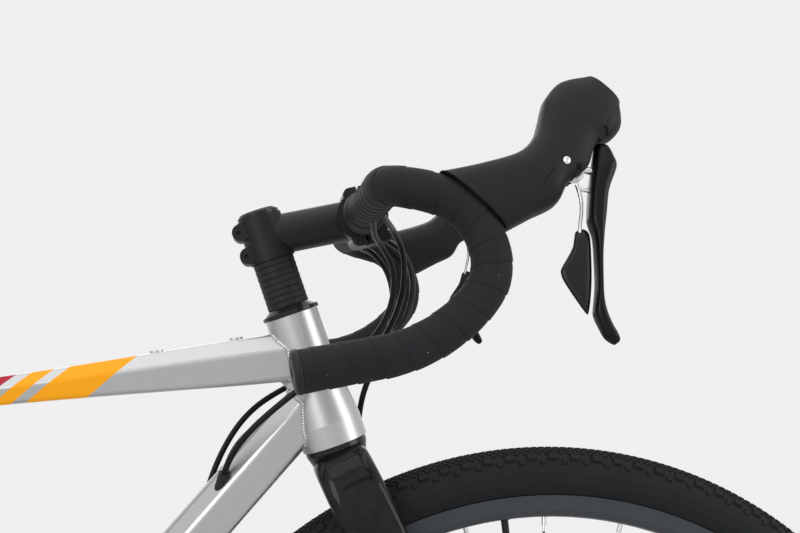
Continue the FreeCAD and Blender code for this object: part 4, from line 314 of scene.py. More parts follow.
def wheelSteel(name, axle, brightStart):  # black near the axle, bright steel further out
    finish = Finish(name)
    flat = finish.node("ShaderNodeVectorMath", {"operation": "MULTIPLY"}, {0: finish.spot, 1: (1, 0, 1)})
    middle = (axle.x * metre, 0, axle.z * metre)
    reach = finish.node("ShaderNodeVectorMath", {"operation": "DISTANCE"}, {0: flat, 1: middle}, 1)
    bright = reach > brightStart * metre
    grit = finish.grain(1500.0, 2.0)
    colour = finish.blend(grey(0.016), grey(0.70), bright)
    return finish.paint(colour=colour, metallic=bright, roughness=0.30 + 0.08 * grit - 0.06 * bright)


def rubber(name, level, rough, grainSize, depth, mottle=30.0):
    finish = Finish(name, specular=0.15)
    grit = finish.grain(grainSize, 3.0, 0.65)
    cloud = finish.grain(mottle, 4.0, 0.6)
    colour = finish.blend(grey(level * 0.75, -0.12), grey(level * 1.6, -0.12), 0.7 * cloud + 0.3 * grit)
    rough = rough - 0.08 + 0.16 * cloud + 0.06 * grit
    return finish.paint(colour=colour, roughness=rough, normal=finish.bump(grit, depth, 0.6))


def tapeLook():  # soft tape with a fine emboss and a few pale flecks
    finish = Finish("barTape", specular=0.13)
    grit = finish.grain(1400.0, 3.0, 0.7)
    cloud = finish.grain(35.0, 3.0)
    cell = finish.cells(150.0)
    pick = finish.node("ShaderNodeSeparateColor", None, {"Color": finish.cells(150.0, 1)})
    fleck = (cell < 0.055) * (pick > 0.80)
    dark = finish.blend(grey(0.010, -0.12), grey(0.022, -0.12), 0.6 * cloud + 0.4 * grit)
    rough = 0.58 + 0.14 * cloud - 0.15 * fleck
    return finish.paint(colour=finish.blend(dark, grey(0.42), fleck), roughness=rough,
                        normal=finish.bump(grit, 0.00008, 0.6))


def leather():
    finish = Finish("saddleCover", specular=0.20)
    grain = finish.cells(620.0, 0, "SMOOTH_F1")
    cloud = finish.grain(24.0, 3.0)
    colour = finish.blend(grey(0.009, -0.12), grey(0.018, -0.12), 0.6 * cloud + 0.4 * grain)
    return finish.paint(colour=colour, roughness=0.46 + 0.14 * cloud, normal=finish.bump(grain, 0.00012, 0.6))


silverPlain = silver("frameSilver")
silverBanded = silver("frameSilverBanded", True)
gloss = carbonBlack()
stemBlack = satinBlack("stemSatinBlack", 0.006, 0.42)
spacerBlack = satinBlack("spacerMatteBlack", 0.010, 0.52, 1600.0)
coverBlack = satinBlack("headsetGlossBlack", 0.010, 0.16, 2600.0, 0.00001)
alloyBlack = satinBlack("partsSatinBlack", 0.011, 0.38)
rimGrey = satinBlack("rimSatinGrey", 0.045, 0.36, 1300.0)
leverBlack = satinBlack("leverSatinBlack", 0.006, 0.30, 3000.0, 0.00001)
# the blade's black: a darker copy of the lever black with a weaker specular level; its darker colour is painted shade
shadedBladeBlack = satinBlack("bladeSatinBlack", 0.0045, 0.26, 3000.0, 0.00001, specular=0.15)
plasticBlack = satinBlack("mouldedBlack", 0.010, 0.50, 900.0, 0.00006)
hoodRubber = rubber("hoodRubber", 0.013, 0.50, 1800.0, 0.00005)
hoseBlack = rubber("hoseBlack", 0.006, 0.34, 2500.0, 0.00001)
tyreRubber = rubber("tyreRubber", 0.012, 0.66, 900.0, 0.00012, 14.0)
steel = steelLook("brushedSteel")
darkSteel = steelLook("chainSteel", 0.42, 0.30)
brightSteel = steelLook("polishedSteel", 0.74, 0.12, (1, 1, 1), 400.0)
# painted shade: a very dark rubber for the hood's seam grooves and its hole, standing in for the shadow in them
seamShade = rubber("seamShadow", 0.004, 0.75, 900.0, 0.00002)
barTapeLook = tapeLook()
cover = leather()

finishGroups = [
    (silverPlain, "head_tube down_tube seat_tube rear_triangle"), (silverBanded, "top_tube"), (gloss, "fork"),
    (stemBlack, "stem stem_faceplate handlebar"), (spacerBlack, "headset_spacers"), (coverBlack, "headset_covers"),
    (rimGrey, "front_rim rear_rim"), (plasticBlack, "cable_grommets saddle_shell guide_pulley tension_pulley"),
    (wheelSteel("frontSpokes", frontAxle, 286.0), "front_spokes"),
    (wheelSteel("rearSpokes", rearAxle, 286.0), "rear_spokes"),
    (wheelSteel("chainringBlack", bbCentre, 88.0), "chainrings"), (darkSteel, "chain front_derailleur_cage"),
    (steel, "front_rotor rear_rotor cassette headset_bearings boss_inserts"),
    (brightSteel, "right_lever_yoke left_lever_yoke")]
nodeFinish = {name: finish for finish, names in finishGroups for name in names.split()}
for name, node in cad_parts.items():
    node.data.materials.clear()
    node.data.materials.append(nodeFinish.get(name, alloyBlack))
print("finishes made:", len(bpy.data.materials))

# camera at the photograph's place, floor, backdrop and soft light
shot = {"place": (0.2853, -0.897, 0.7965), "lens": 49.05, "sensor": 36.0, "yaw": 6.8, "pitch": 4.0}
cameraData = bpy.data.cameras.new("camera")
cameraData.lens = shot["lens"]
cameraData.sensor_width = shot["sensor"]
cameraData.clip_start = 0.01
camera = addObject("camera", cameraData)
camera.location = shot["place"]
camera.rotation_euler = (math.radians(90 + shot["pitch"]), 0, math.radians(-shot["yaw"]))
bpy.context.scene.camera = camera
bpy.context.scene.view_settings.view_transform = "Standard"

studio = {"backdrop": (0.865, 0.865, 0.875, 1.0), "ambient": 0.48, "floorRadius": 3.2, "floorEdge": 1.5,
          "floorSides": 96, "floorDark": grey(0.76), "floorPale": grey(0.80)}
world = bpy.data.worlds.new("studio")
bpy.context.scene.world = world
world.use_nodes = True
sky = Graph(world.node_tree)
world.node_tree.nodes.clear()
path = sky.node("ShaderNodeLightPath").socket.node.outputs
seen = Wire(sky, path["Is Camera Ray"]) + Wire(sky, path["Is Glossy Ray"]) + Wire(sky, path["Is Transmission Ray"])
shown = sky.node("ShaderNodeBackground", None, {"Color": studio["backdrop"], "Strength": 1.0})
lit = sky.node("ShaderNodeBackground", None, {"Color": (1, 1, 1, 1), "Strength": studio["ambient"]})
both = sky.node("ShaderNodeMixShader", None, {0: seen, 1: lit, 2: shown})
sky.tree.links.new(both.socket, sky.tree.nodes.new("ShaderNodeOutputWorld").inputs[0])

sides = studio["floorSides"]
floorPoints = [Vector()]
for i in range(sides):
    cosine, sine = slope(i * 360 / sides)
    floorPoints.append(Vector((cosine, sine, 0)) * studio["floorRadius"] / metre)
floorFinish = Finish("paleFloor", roughness=0.8)
floorColour = floorFinish.blend(studio["floorDark"], studio["floorPale"], floorFinish.grain(3.0))
reach = floorFinish.node("ShaderNodeVectorMath", {"operation": "LENGTH"}, {0: floorFinish.spot}, 1)
fade = floorFinish.node("ShaderNodeMapRange", None, {"Value": reach, "From Min": studio["floorEdge"],
                                                     "From Max": studio["floorRadius"] * 0.98,
                                                     "To Min": 1.0, "To Max": 0.0})
floor = addMesh("floor", floorPoints, [(0, i + 1, (i + 1) % sides + 1) for i in range(sides)],
                floorFinish.paint(colour=floorColour, alpha=fade))

lamps = {"overhead": ((0.1, -0.3, 2.9), (0.15, 0, 0.6), 3.0, 27.0),
         "front": ((-1.5, -2.4, 1.7), (0.2, 0, 0.7), 1.8, 32.0),
         "side": ((2.6, -1.0, 1.5), (0.3, 0, 0.7), 1.4, 18.0),
         "behind": ((0.2, 2.6, 1.8), (0.1, 0, 0.6), 2.0, 22.0)}
for name, (spot, target, size, power) in lamps.items():
    lampData = bpy.data.lights.new(name, "AREA")
    lampData.size = size
    lampData.energy = power
    lamp = addObject(name, lampData)
    lamp.location = spot
    lamp.rotation_euler = (Vector(target) - Vector(spot)).to_track_quat("-Z", "Y").to_euler()
print("camera, floor and lamps made")


# hoses: smooth tubes that come out from under the tape and bend where they cross from the bar to the frame
def tubeAlong(name, points, diameter, material):
    data = bpy.data.curves.new(name, "CURVE")
    data.dimensions = "3D"
    data.bevel_depth = diameter / 2 * metre
    data.bevel_resolution = 4
    data.use_fill_caps = True
    data.resolution_u = 10
    spline = data.splines.new("NURBS")
    spline.points.add(len(points) - 1)
    for spot, point in zip(spline.points, points):
        spot.co = (*(point * metre), 1.0)
    spline.order_u = 3
    spline.use_endpoint_u = True
    curve = addObject(name + "Line", data)
    mesh = plainMesh(curve)
    bpy.data.objects.remove(curve)
    mesh.materials.append(material)
    mesh.shade_smooth()
    return addObject(name, mesh)


hoses = {"diameter": 5.0, "tubeWidth": 42.0, "tubeHeight": 40.0, "downStart": 439.0, "portHigh": 0.33,
         "portWide": 0.37, "entry": (0.86, 0.42, 0.30), "mouthOut": 6.0, "leadIn": 24.0,
         "forkEntry": (0.28, -0.62, -0.73), "grommet": 9.2, "grommetLength": 14.0}
downStart = steerFoot + steerUp * hoses["downStart"]
downHeading = (bbCentre - downStart).normalized()
downUp = Vector((downHeading.z, 0, -downHeading.x))


def portMouth(along, side):
    spot = downStart + downHeading * along + downUp * (hoses["portHigh"] * hoses["tubeHeight"])
    spot += Vector((0, side * hoses["portWide"] * hoses["tubeWidth"], 0))
    ahead, down, inward = hoses["entry"]
    entry = (downHeading * ahead - downUp * down - Vector((0, side * inward, 0))).normalized()
    return spot - entry * hoses["mouthOut"], entry


def routeFrom(origin, route):
    return [origin + Vector(p) for p in route]


steeringHoses = {  # port's distance down the tube, its side, points from the bar clamp
    "rearBrakeHose": (100.0, 1, [
        (7, -92, -4.8), (16, -64, -11), (23, -38, -13), (36, -14, -33), (35.5, 6, -70), (18, 24, -108),
        (-18, 36, -136), (-57, 38, -156)]),
    "rearShiftHousing": (122.0, 1, [
        (1.6, -94, -8.3), (4, -66, -20), (12, -41, -24), (27, -18, -43), (26.5, 2, -75), (10, 17, -104),
        (-23, 28, -125), (-61, 30, -140), (-94, 29, -162)]),
    "frontShiftHousing": (100.0, -1, [
        (7, 92, -4.8), (16, 64, -11), (25, 38, -13), (43, 16, -31), (45, -4, -66), (27, -22, -99),
        (-11, -34, -117.5), (-50, -37, -137)]),
}
for name, (along, side, route) in steeringHoses.items():
    mouth, entry = portMouth(along, side)
    points = routeFrom(barClamp, route) + [mouth - entry * hoses["leadIn"], mouth]
    hose = tubeAlong(name, points, hoses["diameter"], hoseBlack)
    tuple(points[3] * metre)
    tuple(points[-2] * metre)
    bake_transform(hose)
    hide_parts("cable_housings")

frameHoses = {
    "rearDerailleurHousing": routeFrom(rearAxle, [
        (68, -86.0, -13), (47, -88.2, -20), (26, -89, -28.5), (4, -86.2, -34.5)]),
    "rearCaliperHose": routeFrom(rearAxle, [
        (86.9, 62, 38.5), (104, 62, 46), (128, 61.5, 41), (148, 61, 24), (160, 60.5, 3)]),
    "frontDerailleurHousing": [bbCentre + seatUp * t + Vector(p) for t, p in [
        (104, (-7, -19.6, 0)), (126, (-9, -24.5, 0)), (148, (-8, -26, 0)), (165, (-5, -24.6, 0))]],
}
for name, points in frameHoses.items():
    place(tubeAlong(name, points, hoses["diameter"], hoseBlack), "frame", ["cable_housings"])
frontHose = routeFrom(barClamp, [
    (2, 98, -8.2), (5, 70, -20), (15, 46, -24), (29, 31, -46), (31, 25, -79), (20, 22, -112), (5, 24, -141),
    (1, 38, -172), (3, 51, -199), (11, 56, -226)])
forkEntry = Vector(hoses["forkEntry"]).normalized() * hoses["grommetLength"]
forkRun = [frontHose[-1] + forkEntry * share for share in (0, 0.5, 1)]
caliperRun = routeFrom(frontAxle, [
    (-80.2, 42, 50.1), (-95, 43, 60.5), (-103, 45, 83), (-94, 49, 106), (-77, 52, 123)])
for name, points, diameter, material in (
        ("frontBrakeHose", frontHose, hoses["diameter"], hoseBlack),
        ("forkGrommet", forkRun, hoses["grommet"], plasticBlack),
        ("frontCaliperHose", caliperRun, hoses["diameter"], hoseBlack)):
    place(tubeAlong(name, points, diameter, material), "steering", ["front_brake_hose"])
print("hoses made")

# the bar's right drop, as a route that tape and levers share
bar = {"width": 420.0, "bendRadius": 29.7, "ramp": 13.6, "upperHook": 47.6, "middleHook": 34.7, "middleTurn": 36.8,
       "lowerHook": 107.6, "tailSlope": 10.2, "tail": 48.7, "flare": 14.0, "radius": 11.9, "clampRadius": 15.9,
       "bulgeHalf": 46.0, "taper": 26.0}
outRight = Vector((0, -1, 0))
rampCos, rampSin = slope(bar["ramp"])
flareCos, flareSin = slope(bar["flare"])
rampHeading = Vector((rampCos, 0, -rampSin))
rampDown = Vector((-rampSin, 0, -rampCos))
hookDown = rampDown * flareCos + outRight * flareSin
hookOut = outRight * flareCos - rampDown * flareSin
bendStart = barClamp + outRight * (bar["width"] / 2 - bar["bendRadius"])
rampEnd = bendStart + rampHeading * bar["bendRadius"] + outRight * bar["bendRadius"]


def dropSpot(ahead, up, out=0.0):  # point in the drop's plane, from the middle of the bar clamp
    flat = Vector((barClamp.x + ahead - rampEnd.x, 0, barClamp.z + up - rampEnd.z))
    return rampEnd + rampHeading * flat.dot(rampHeading) + hookDown * flat.dot(rampDown) + hookOut * out


def alongLeg(spot, heading, inward, radius, reach):  # point and directions on a straight or a round leg
    if not radius:
        return spot + heading * reach, heading, inward
    cosine, sine = math.cos(reach / radius), math.sin(reach / radius)
    point = spot + (heading * sine + inward * (1 - cosine)) * radius
    return point, heading * cosine + inward * sine, inward * cosine - heading * sine


def barRoute(start, step):  # points, headings and distances along the bar
    begin = barClamp + outRight * start
    hookTurn = 90 - bar["middleTurn"] - bar["tailSlope"]
    arcs = [(bar["bendRadius"], 90), (bar["upperHook"], 90 - bar["ramp"]), (bar["middleHook"], bar["middleTurn"]),
            (bar["lowerHook"], hookTurn)]
    legs = [(0, (bendStart - begin).length)] + [(radius, radius * math.radians(turn)) for radius, turn in arcs]
    legs.append((0, bar["tail"]))
    trail = []
    distance = 0.0
    spot, heading, inward = begin, outRight, rampHeading
    for k, (radius, length) in enumerate(legs):
        if k == 2:
            heading, inward = rampHeading, hookDown
        count = round(length / step)
        for i in range(count):
            reach = length * i / count
            trail.append((*alongLeg(spot, heading, inward, radius, reach)[:2], distance + reach))
        spot, heading, inward = alongLeg(spot, heading, inward, radius, length)
        distance += length
    return trail + [(spot, heading, distance)]


tape = {"start": 38.0, "pitch": 17.0, "step": 0.75, "around": 56, "base": 1.30, "rise": 0.45, "edge": 0.06,
        "groove": 0.42, "sag": 0.16, "sagScale": 0.02}


def coreRadius(distance):  # bare bar under the tape, thicker at the clamp
    y = tape["start"] + distance
    share = min(max((y - bar["bulgeHalf"]) / bar["taper"], 0.0), 1.0)
    return bar["clampRadius"] + (bar["radius"] - bar["clampRadius"]) * share


def wrapHeight(phase):  # one turn: slow rise to its edge, then a step down with a fine groove
    share = phase % 1.0
    edge = tape["edge"]
    height = tape["base"] + tape["rise"] * min(share / (1 - edge), 1.0)
    if share > 1 - edge:
        fall = (share - (1 - edge)) / edge
        height -= (tape["rise"] + tape["groove"]) * fall * fall * (3 - 2 * fall)
    elif share < edge:
        back = 1 - share / edge
        height -= tape["groove"] * back * back
    return height


def tapeTube(name, rows):
    around = tape["around"]
    side = Vector((0, 0, 1))
    sections = []
    for spot, heading, distance in rows:
        side = (side - heading * side.dot(heading)).normalized()
        over = heading.cross(side)
        sag = tape["sag"] * noise.noise(Vector((distance * tape["sagScale"], 0.3, 0)))
        ring = []
        for k in range(around):
            cosine, sine = slope(k * 360 / around)
            radius = coreRadius(distance) + wrapHeight(distance / tape["pitch"] - k / around + sag)
            ring.append(spot + (side * cosine + over * sine) * radius)
        sections.append(ring)
    return loft(name, sections, barTapeLook)


def lathe(name, profile, origin, axis, material, around):  # profile of (along, radius)
    axis = axis.normalized()
    side = axis.orthogonal().normalized()
    over = axis.cross(side)
    turns = [slope(k * 360 / around) for k in range(around)]
    sections = [[origin + axis * along + (side * cosine + over * sine) * radius for cosine, sine in turns]
                for along, radius in profile]
    return loft(name, sections, material)


def placePair(right, nodes, body="steering"):  # with its mirrored twin, "side" in a name for right or left
    mesh = right.data.copy()
    mesh.transform(Matrix.Scale(-1, 4, (0, 1, 0)))
    mesh.flip_normals()
    left = addObject(right.name.replace("right", "left"), mesh)
    for piece, side in ((right, "right"), (left, "left")):
        place(piece, body.replace("side", side), [node.replace("side", side) for node in nodes])


route = barRoute(tape["start"], tape["step"])
wrapping = tapeTube("wrapping", route)
tailEnd, tailHeading = route[-1][:2]
plug = lathe("plug", [(-10, 9.6), (0, 9.6), (0, 13.4), (1.0, 14.0), (3.0, 13.8), (4.4, 12.4), (5.0, 10.0), (5.2, 4.0),
                      (4.6, 3.2), (4.6, 0.4)], tailEnd, tailHeading, plasticBlack, 48)
rightTape = joined("rightBarTape", [wrapping, plug])
placePair(rightTape, ["bar_tape"])
print("tape made:", len(rightTape.data.polygons), "faces a side")


# repeated parts: geometry node trees that plant a part on points and turn it to face outwards
class Planting(Graph):
    def __init__(self, name, sizes):
        group = bpy.data.node_groups.new(name, "GeometryNodeTree")
        super().__init__(group)
        group.interface.new_socket("Geometry", in_out="INPUT", socket_type="NodeSocketGeometry")
        self.keys = {}
        for label, kind in sizes + [("Part", "Object"), ("Finish", "Material"), ("Uneven", "Float"), ("Seed", "Int")]:
            socket = group.interface.new_socket(label, in_out="INPUT", socket_type="NodeSocket" + kind)
            self.keys[label] = socket.identifier
        group.interface.new_socket("Geometry", in_out="OUTPUT", socket_type="NodeSocketGeometry")
        source = group.nodes.new("NodeGroupInput")
        self.given = {socket.name: Wire(self, socket) for socket in source.outputs if socket.name}

    def plant(self, points, along, facing):
        align = "FunctionNodeAlignRotationToVector"
        turn = self.node(align, {"axis": "X"}, {"Vector": along})
        turn = self.node(align, {"axis": "Z", "pivot_axis": "X"}, {"Rotation": turn, "Vector": facing})
        part = self.node("GeometryNodeObjectInfo", {"transform_space": "ORIGINAL"},
                         {"Object": self.given["Part"], "As Instance": True}, "Geometry")
        size = self.node("FunctionNodeRandomValue", {"data_type": "FLOAT"},
                         {2: 1 - self.given["Uneven"], 3: 1 + self.given["Uneven"], 8: self.given["Seed"]}, 1)
        planted = self.node("GeometryNodeInstanceOnPoints", None,
                            {"Points": points, "Instance": part, "Rotation": turn, "Scale": size})
        real = self.node("GeometryNodeRealizeInstances", None, {0: planted})
        painted = self.node("GeometryNodeSetMaterial", None, {"Geometry": real, "Material": self.given["Finish"]})
        self.tree.links.new(painted.socket, self.tree.nodes.new("NodeGroupOutput").inputs[0])


def ringPlanting():  # points in a ring round the wheel's axle
    sizes = [("Count", "Int"), ("Radius", "Float"), ("Side", "Float"), ("Lean", "Float"), ("Phase", "Float")]
    tree = Planting("partsRoundAxle", sizes)
    count, radius, side, lean, phase = [tree.given[label] for label, _ in sizes]
    turn = (tree.node("GeometryNodeInputIndex") + phase) * math.tau / count
    cosine, sine = turn.maths("COSINE", turn), turn.maths("SINE", turn)
    spot = tree.node("ShaderNodeCombineXYZ", None, {0: radius * cosine, 1: side, 2: radius * sine})
    line = tree.node("GeometryNodeMeshLine", None, {"Count": count})
    points = tree.node("GeometryNodeSetPosition", None, {"Geometry": line, "Position": spot})
    along = tree.node("ShaderNodeCombineXYZ", None, {0: 0.0 - sine, 2: cosine})
    flat = lean.maths("COSINE", lean)
    facing = tree.node("ShaderNodeCombineXYZ", None, {0: cosine * flat, 1: lean.maths("SINE", lean), 2: sine * flat})
    tree.plant(points, along, facing)
    return tree


def pathPlanting():  # points of a mesh that carry their own along and facing directions
    tree = Planting("partsOnPoints", [])
    read = [tree.node("GeometryNodeInputNamedAttribute", {"data_type": "FLOAT_VECTOR"}, {"Name": name})
            for name in ("along", "facing")]
    tree.plant(tree.given["Geometry"], *read)
    return tree


ringTree = ringPlanting()
pathTree = pathPlanting()


def grown(name, tree, values, host=None):
    piece = addObject(name, host or bpy.data.meshes.new(name))
    modifier = piece.modifiers.new("planting", "NODES")
    modifier.node_group = tree.tree
    for label, value in {"Uneven": 0.0, "Seed": 1, **values}.items():
        modifier[tree.keys[label]] = value
    return baked(piece)


def pointHost(name, rows):  # rows of (spot, along, facing) in millimetres
    mesh = bpy.data.meshes.new(name)
    mesh.from_pydata([tuple(row[0] * metre) for row in rows], [], [])
    for k, label in ((1, "along"), (2, "facing")):
        attribute = mesh.attributes.new(label, "FLOAT_VECTOR", "POINT")
        attribute.data.foreach_set("vector", [x for row in rows for x in row[k]])
    return mesh


def block(name, length, width, height, taper, sunk):  # lug with a smaller top and no underside
    points = []
    for share, z in ((1.0, -sunk), (1.0, 0.0), (taper, height)):
        points += [Vector((sx * length / 2 * share, sy * width / 2 * share, z))
                   for sx, sy in ((-1, -1), (1, -1), (1, 1), (-1, 1))]
    faces = [(8, 9, 10, 11)]
    for i in (0, 4):
        faces += [(i + k, i + (k + 1) % 4, i + 4 + (k + 1) % 4, i + 4 + k) for k in range(4)]
    return addMesh(name, points, faces, None, False)


# tyres: turned casing with ridged sidewalls, then rows of lugs
tyre = {"middle": 333.0, "section": 20.8, "inner": 18.2, "around": 200, "bead": 311.4, "beadHalf": 11.2,
        "lipRadius": 317.9, "lipHalf": 14.3, "crownCount": 352, "lugCount": 120,
        "crownRows": (-31.0, -21.0, -10.5, 0.0, 10.5, 21.0, 31.0), "shoulder": 45.0, "shoulderInner": 57.0,
        "ridges": ((-16.0, 0.35), (8.0, 0.25), (24.0, 0.30)), "ridgeWidth": 2.2, "beadThickness": 4.0,
        "foot": (320.0, 9.2), "lugs": {"crown": (4.0, 2.7, 1.2, 0.62, 0.8), "shoulder": (8.6, 6.4, 2.3, 0.74, 1.2),
                                       "side": (5.2, 4.4, 1.5, 0.68, 1.0)}}


def tyreProfile():
    half = []
    for degrees in range(90, -35, -3):
        cosine, sine = slope(degrees)
        swell = sum(size * math.exp(-((degrees - spot) / tyre["ridgeWidth"]) ** 2) for spot, size in tyre["ridges"])
        size = tyre["section"] + swell
        half.append((tyre["middle"] + size * sine, size * cosine))
    half += [(tyre["lipRadius"], tyre["lipHalf"]), (tyre["lipRadius"], tyre["beadHalf"]),
             (tyre["bead"], tyre["beadHalf"]), (tyre["bead"], tyre["beadHalf"] - tyre["beadThickness"]), tyre["foot"]]
    for degrees in range(-30, 91, 10):
        cosine, sine = slope(degrees)
        half.append((tyre["middle"] + tyre["inner"] * sine, tyre["inner"] * cosine))
    return half + [(r, -y) for r, y in reversed(half[1:-1])]


def tyreCasing():
    profile = tyreProfile()
    turns = [slope(k * 360 / tyre["around"]) for k in range(tyre["around"])]
    rings = [[Vector((r * cosine, y, r * sine)) for r, y in profile] for cosine, sine in turns]
    return loft("casing", rings, tyreRubber, True)


def lugRow(name, count, degrees, phase):
    cosine, sine = slope(degrees)
    values = {"Count": count, "Radius": (tyre["middle"] + tyre["section"] * cosine) * metre,
              "Side": tyre["section"] * sine * metre, "Lean": math.radians(degrees), "Phase": phase,
              "Part": lugs[name], "Finish": tyreRubber}
    return grown(name, ringTree, values)


lugs = {name: block(name + "Lug", *sizes) for name, sizes in tyre["lugs"].items()}
treadRows = [("crown", tyre["crownCount"], lean, 0.5 * (i % 2)) for i, lean in enumerate(tyre["crownRows"])]
for side in (1, -1):
    treadRows.append(("shoulder", tyre["lugCount"], side * tyre["shoulder"], 0.25 * side))
    treadRows.append(("side", tyre["lugCount"], side * tyre["shoulderInner"], 0.25 * side + 0.5))
wheelTyre = joined("wheelTyre", [tyreCasing()] + [lugRow(*row) for row in treadRows])
wheels = {"front": frontAxle, "rear": rearAxle}
for end, axle in wheels.items():
    mesh = wheelTyre.data.copy()
    mesh.transform(Matrix.Translation(axle * metre))
    piece = sharpen(addObject(end + "Tyre", mesh), 40)
    place(piece, end + "_wheel", [end + "_tyre"])
for spare in (wheelTyre, *lugs.values()):
    bpy.data.objects.remove(spare)
print("tyres made:", len(piece.data.polygons), "faces each")

# valves, one in each rim, between two spokes
valve = {"turn": 96.43, "foot": 299.0,
         "profile": [(0, 5.2), (1.4, 5.2), (1.5, 3.1), (14, 3.0), (14.2, 2.3), (20, 2.3), (20.2, 3.4), (33, 3.1),
                     (35.5, 2.0), (36, 0.6)]}
cosine, sine = slope(valve["turn"])
outward = Vector((cosine, 0, sine))
for end, axle in wheels.items():
    piece = lathe(end + "Valve", valve["profile"], axle + outward * valve["foot"], -outward, alloyBlack, 20)
    place(sharpen(piece), end + "_wheel")

# hoods: a soft cover on each bracket, as top and bottom edge and width, with slots, a screw, and a hole and seam
# lines in painted shade
hood = {
    "stations": [(33.5, 6.4, 75.4, -32.4, 31.0), (60, 12.6, 94, -22, 34.0), (86, 21.4, 110.5, -13, 36.0),
                 (98.4, 33.6, 119, 0.5, 35.0), (103.4, 46.5, 132.6, 8.5, 33.5), (105.6, 54.5, 141.5, 29, 32.0),
                 (108.8, 62.4, 153.5, 35.2, 31.0), (119.4, 74, 160, 44, 28.0), (138, 79.4, 160.4, 58.5, 22.0)],
    "between": 8, "around": 48, "square": 2.7, "dome": 4.0, "domeTurns": (18, 36, 54, 70, 82),
    "lip": [(1.4, 0.3), (0.6, 0.0), (0.0, 0.5)], "outside": 60, "inside": 12,
    "cuts": [([(104, 2), (104, 30), (139, 30), (139, -6), (118, -8)], 9.0),
             ([(121, -20), (123, 12), (131, 33), (156, 31), (156, -20)], 19.6)],
    "round": [("screw", (115.0, 11.8), brightSteel,
               [(-1.5, 2.7), (0.35, 2.7), (0.75, 2.3), (0.8, 1.5), (0.1, 1.3), (0.1, 0.2)]),
              # the hole: a flat disc in the painted seam shade
              ("hole", (124.3, 9.4), seamShade, [(-1.5, 2.3), (0.12, 2.3), (0.12, 0.2)])],
    "seams": [([(105.6, 5.5), (110.6, 2.3), (116.1, -1.0)], 0.75),
              ([(105.6, 5.5), (99.5, -2.2), (97.5, -9.2), (97.0, -20.5)], 0.75),
              ([(156.2, 54.9), (150.2, 48.9), (146.3, 40.9)], 0.75),
              ([(145.1, 39.4), (147.4, 34.5), (149.6, 29.8)], 2.2)],
    "seamLift": 0.02}


def through(values, share):  # smooth curve through listed values
    last = len(values) - 1
    i = min(int(share), last - 1)
    t = share - i
    a, b, c, d = values[max(i - 1, 0)], values[i], values[i + 1], values[min(i + 2, last)]
    return 0.5 * (2 * b + (c - a) * t + (2 * a - 5 * b + 4 * c - d) * t ** 2 + (3 * b - a - 3 * c + d) * t ** 3)


def hoodRing(topAhead, topUp, footAhead, footUp, width, shrink=0.0, push=0.0):
    upper, lower = dropSpot(topAhead, topUp), dropSpot(footAhead, footUp)
    middle = (upper + lower) / 2
    rise = (upper - lower) / 2
    half = rise.length
    rise.normalize()
    ahead = rise.cross(hookOut)
    if ahead.x < 0:
        ahead = -ahead
    ring = []
    for k in range(hood["around"]):
        cosine, sine = slope(k * 360 / hood["around"])
        power = 2 / hood["square"]
        u = math.copysign(abs(cosine) ** power, cosine) * (width / 2 - shrink)
        v = math.copysign(abs(sine) ** power, sine) * (half - shrink)
        ring.append(middle + hookOut * u + rise * v + ahead * push)
    return ring


def stationRows(stations, between):  # more sections, on smooth curves through the listed ones
    steps = (len(stations) - 1) * between
    return [[through(column, i / between) for column in zip(*stations)] for i in range(steps + 1)]


def hoodShape():
    rows = stationRows(hood["stations"], hood["between"])
    sections = [hoodRing(*rows[0], shrink, push) for shrink, push in hood["lip"]]
    sections += [hoodRing(*row) for row in rows[1:]]
    end = rows[-1]
    half = (dropSpot(*end[:2]) - dropSpot(*end[2:4])).length / 2
    for degrees in hood["domeTurns"]:
        cosine, sine = slope(degrees)
        sections.append(hoodRing(*end, (1 - cosine) * min(half, end[4] / 2), hood["dome"] * sine))
    return loft("hoodShape", sections, hoodRubber)


rightHood = hoodShape()
hoodTree = BVHTree.FromPolygons([v.co / metre for v in rightHood.data.vertices],
                                [tuple(p.vertices) for p in rightHood.data.polygons])


def onHood(ahead, up, lift=0.0):  # point on the hood's outer flank
    hit, normal = hoodTree.ray_cast(dropSpot(ahead, up, hood["outside"]), -hookOut)[:2]
    if hit is None:
        hit, normal = hoodTree.find_nearest(dropSpot(ahead, up, hood["inside"]))[:2]
    return hit + normal * lift, normal


for corners, width in hood["cuts"]:
    plates = [[dropSpot(*corner, side * width / 2) for corner in corners] for side in (-1, 1)]
    cutter = loft("cutter", plates, None)
    cut = rightHood.modifiers.new("cut", "BOOLEAN")
    cut.operation = "DIFFERENCE"
    cut.object = cutter
    cut.solver = "EXACT"
    baked(rightHood)
    bpy.data.objects.remove(cutter)
sharpen(rightHood, 40)

extras = [lathe(name, profile, *onHood(*spot), material, 24) for name, spot, material, profile in hood["round"]]
# seam lines: thin tubes in the painted seam shade, lying just over the hood's flank
for points, wide in hood["seams"]:
    line = [onHood(*p, hood["seamLift"])[0] for p in points]
    extras.append(tubeAlong("seam", line, wide, seamShade))
placePair(joined("rightHood", [rightHood] + extras), ["lever_hoods", "lever_brackets"])
print("hoods made")

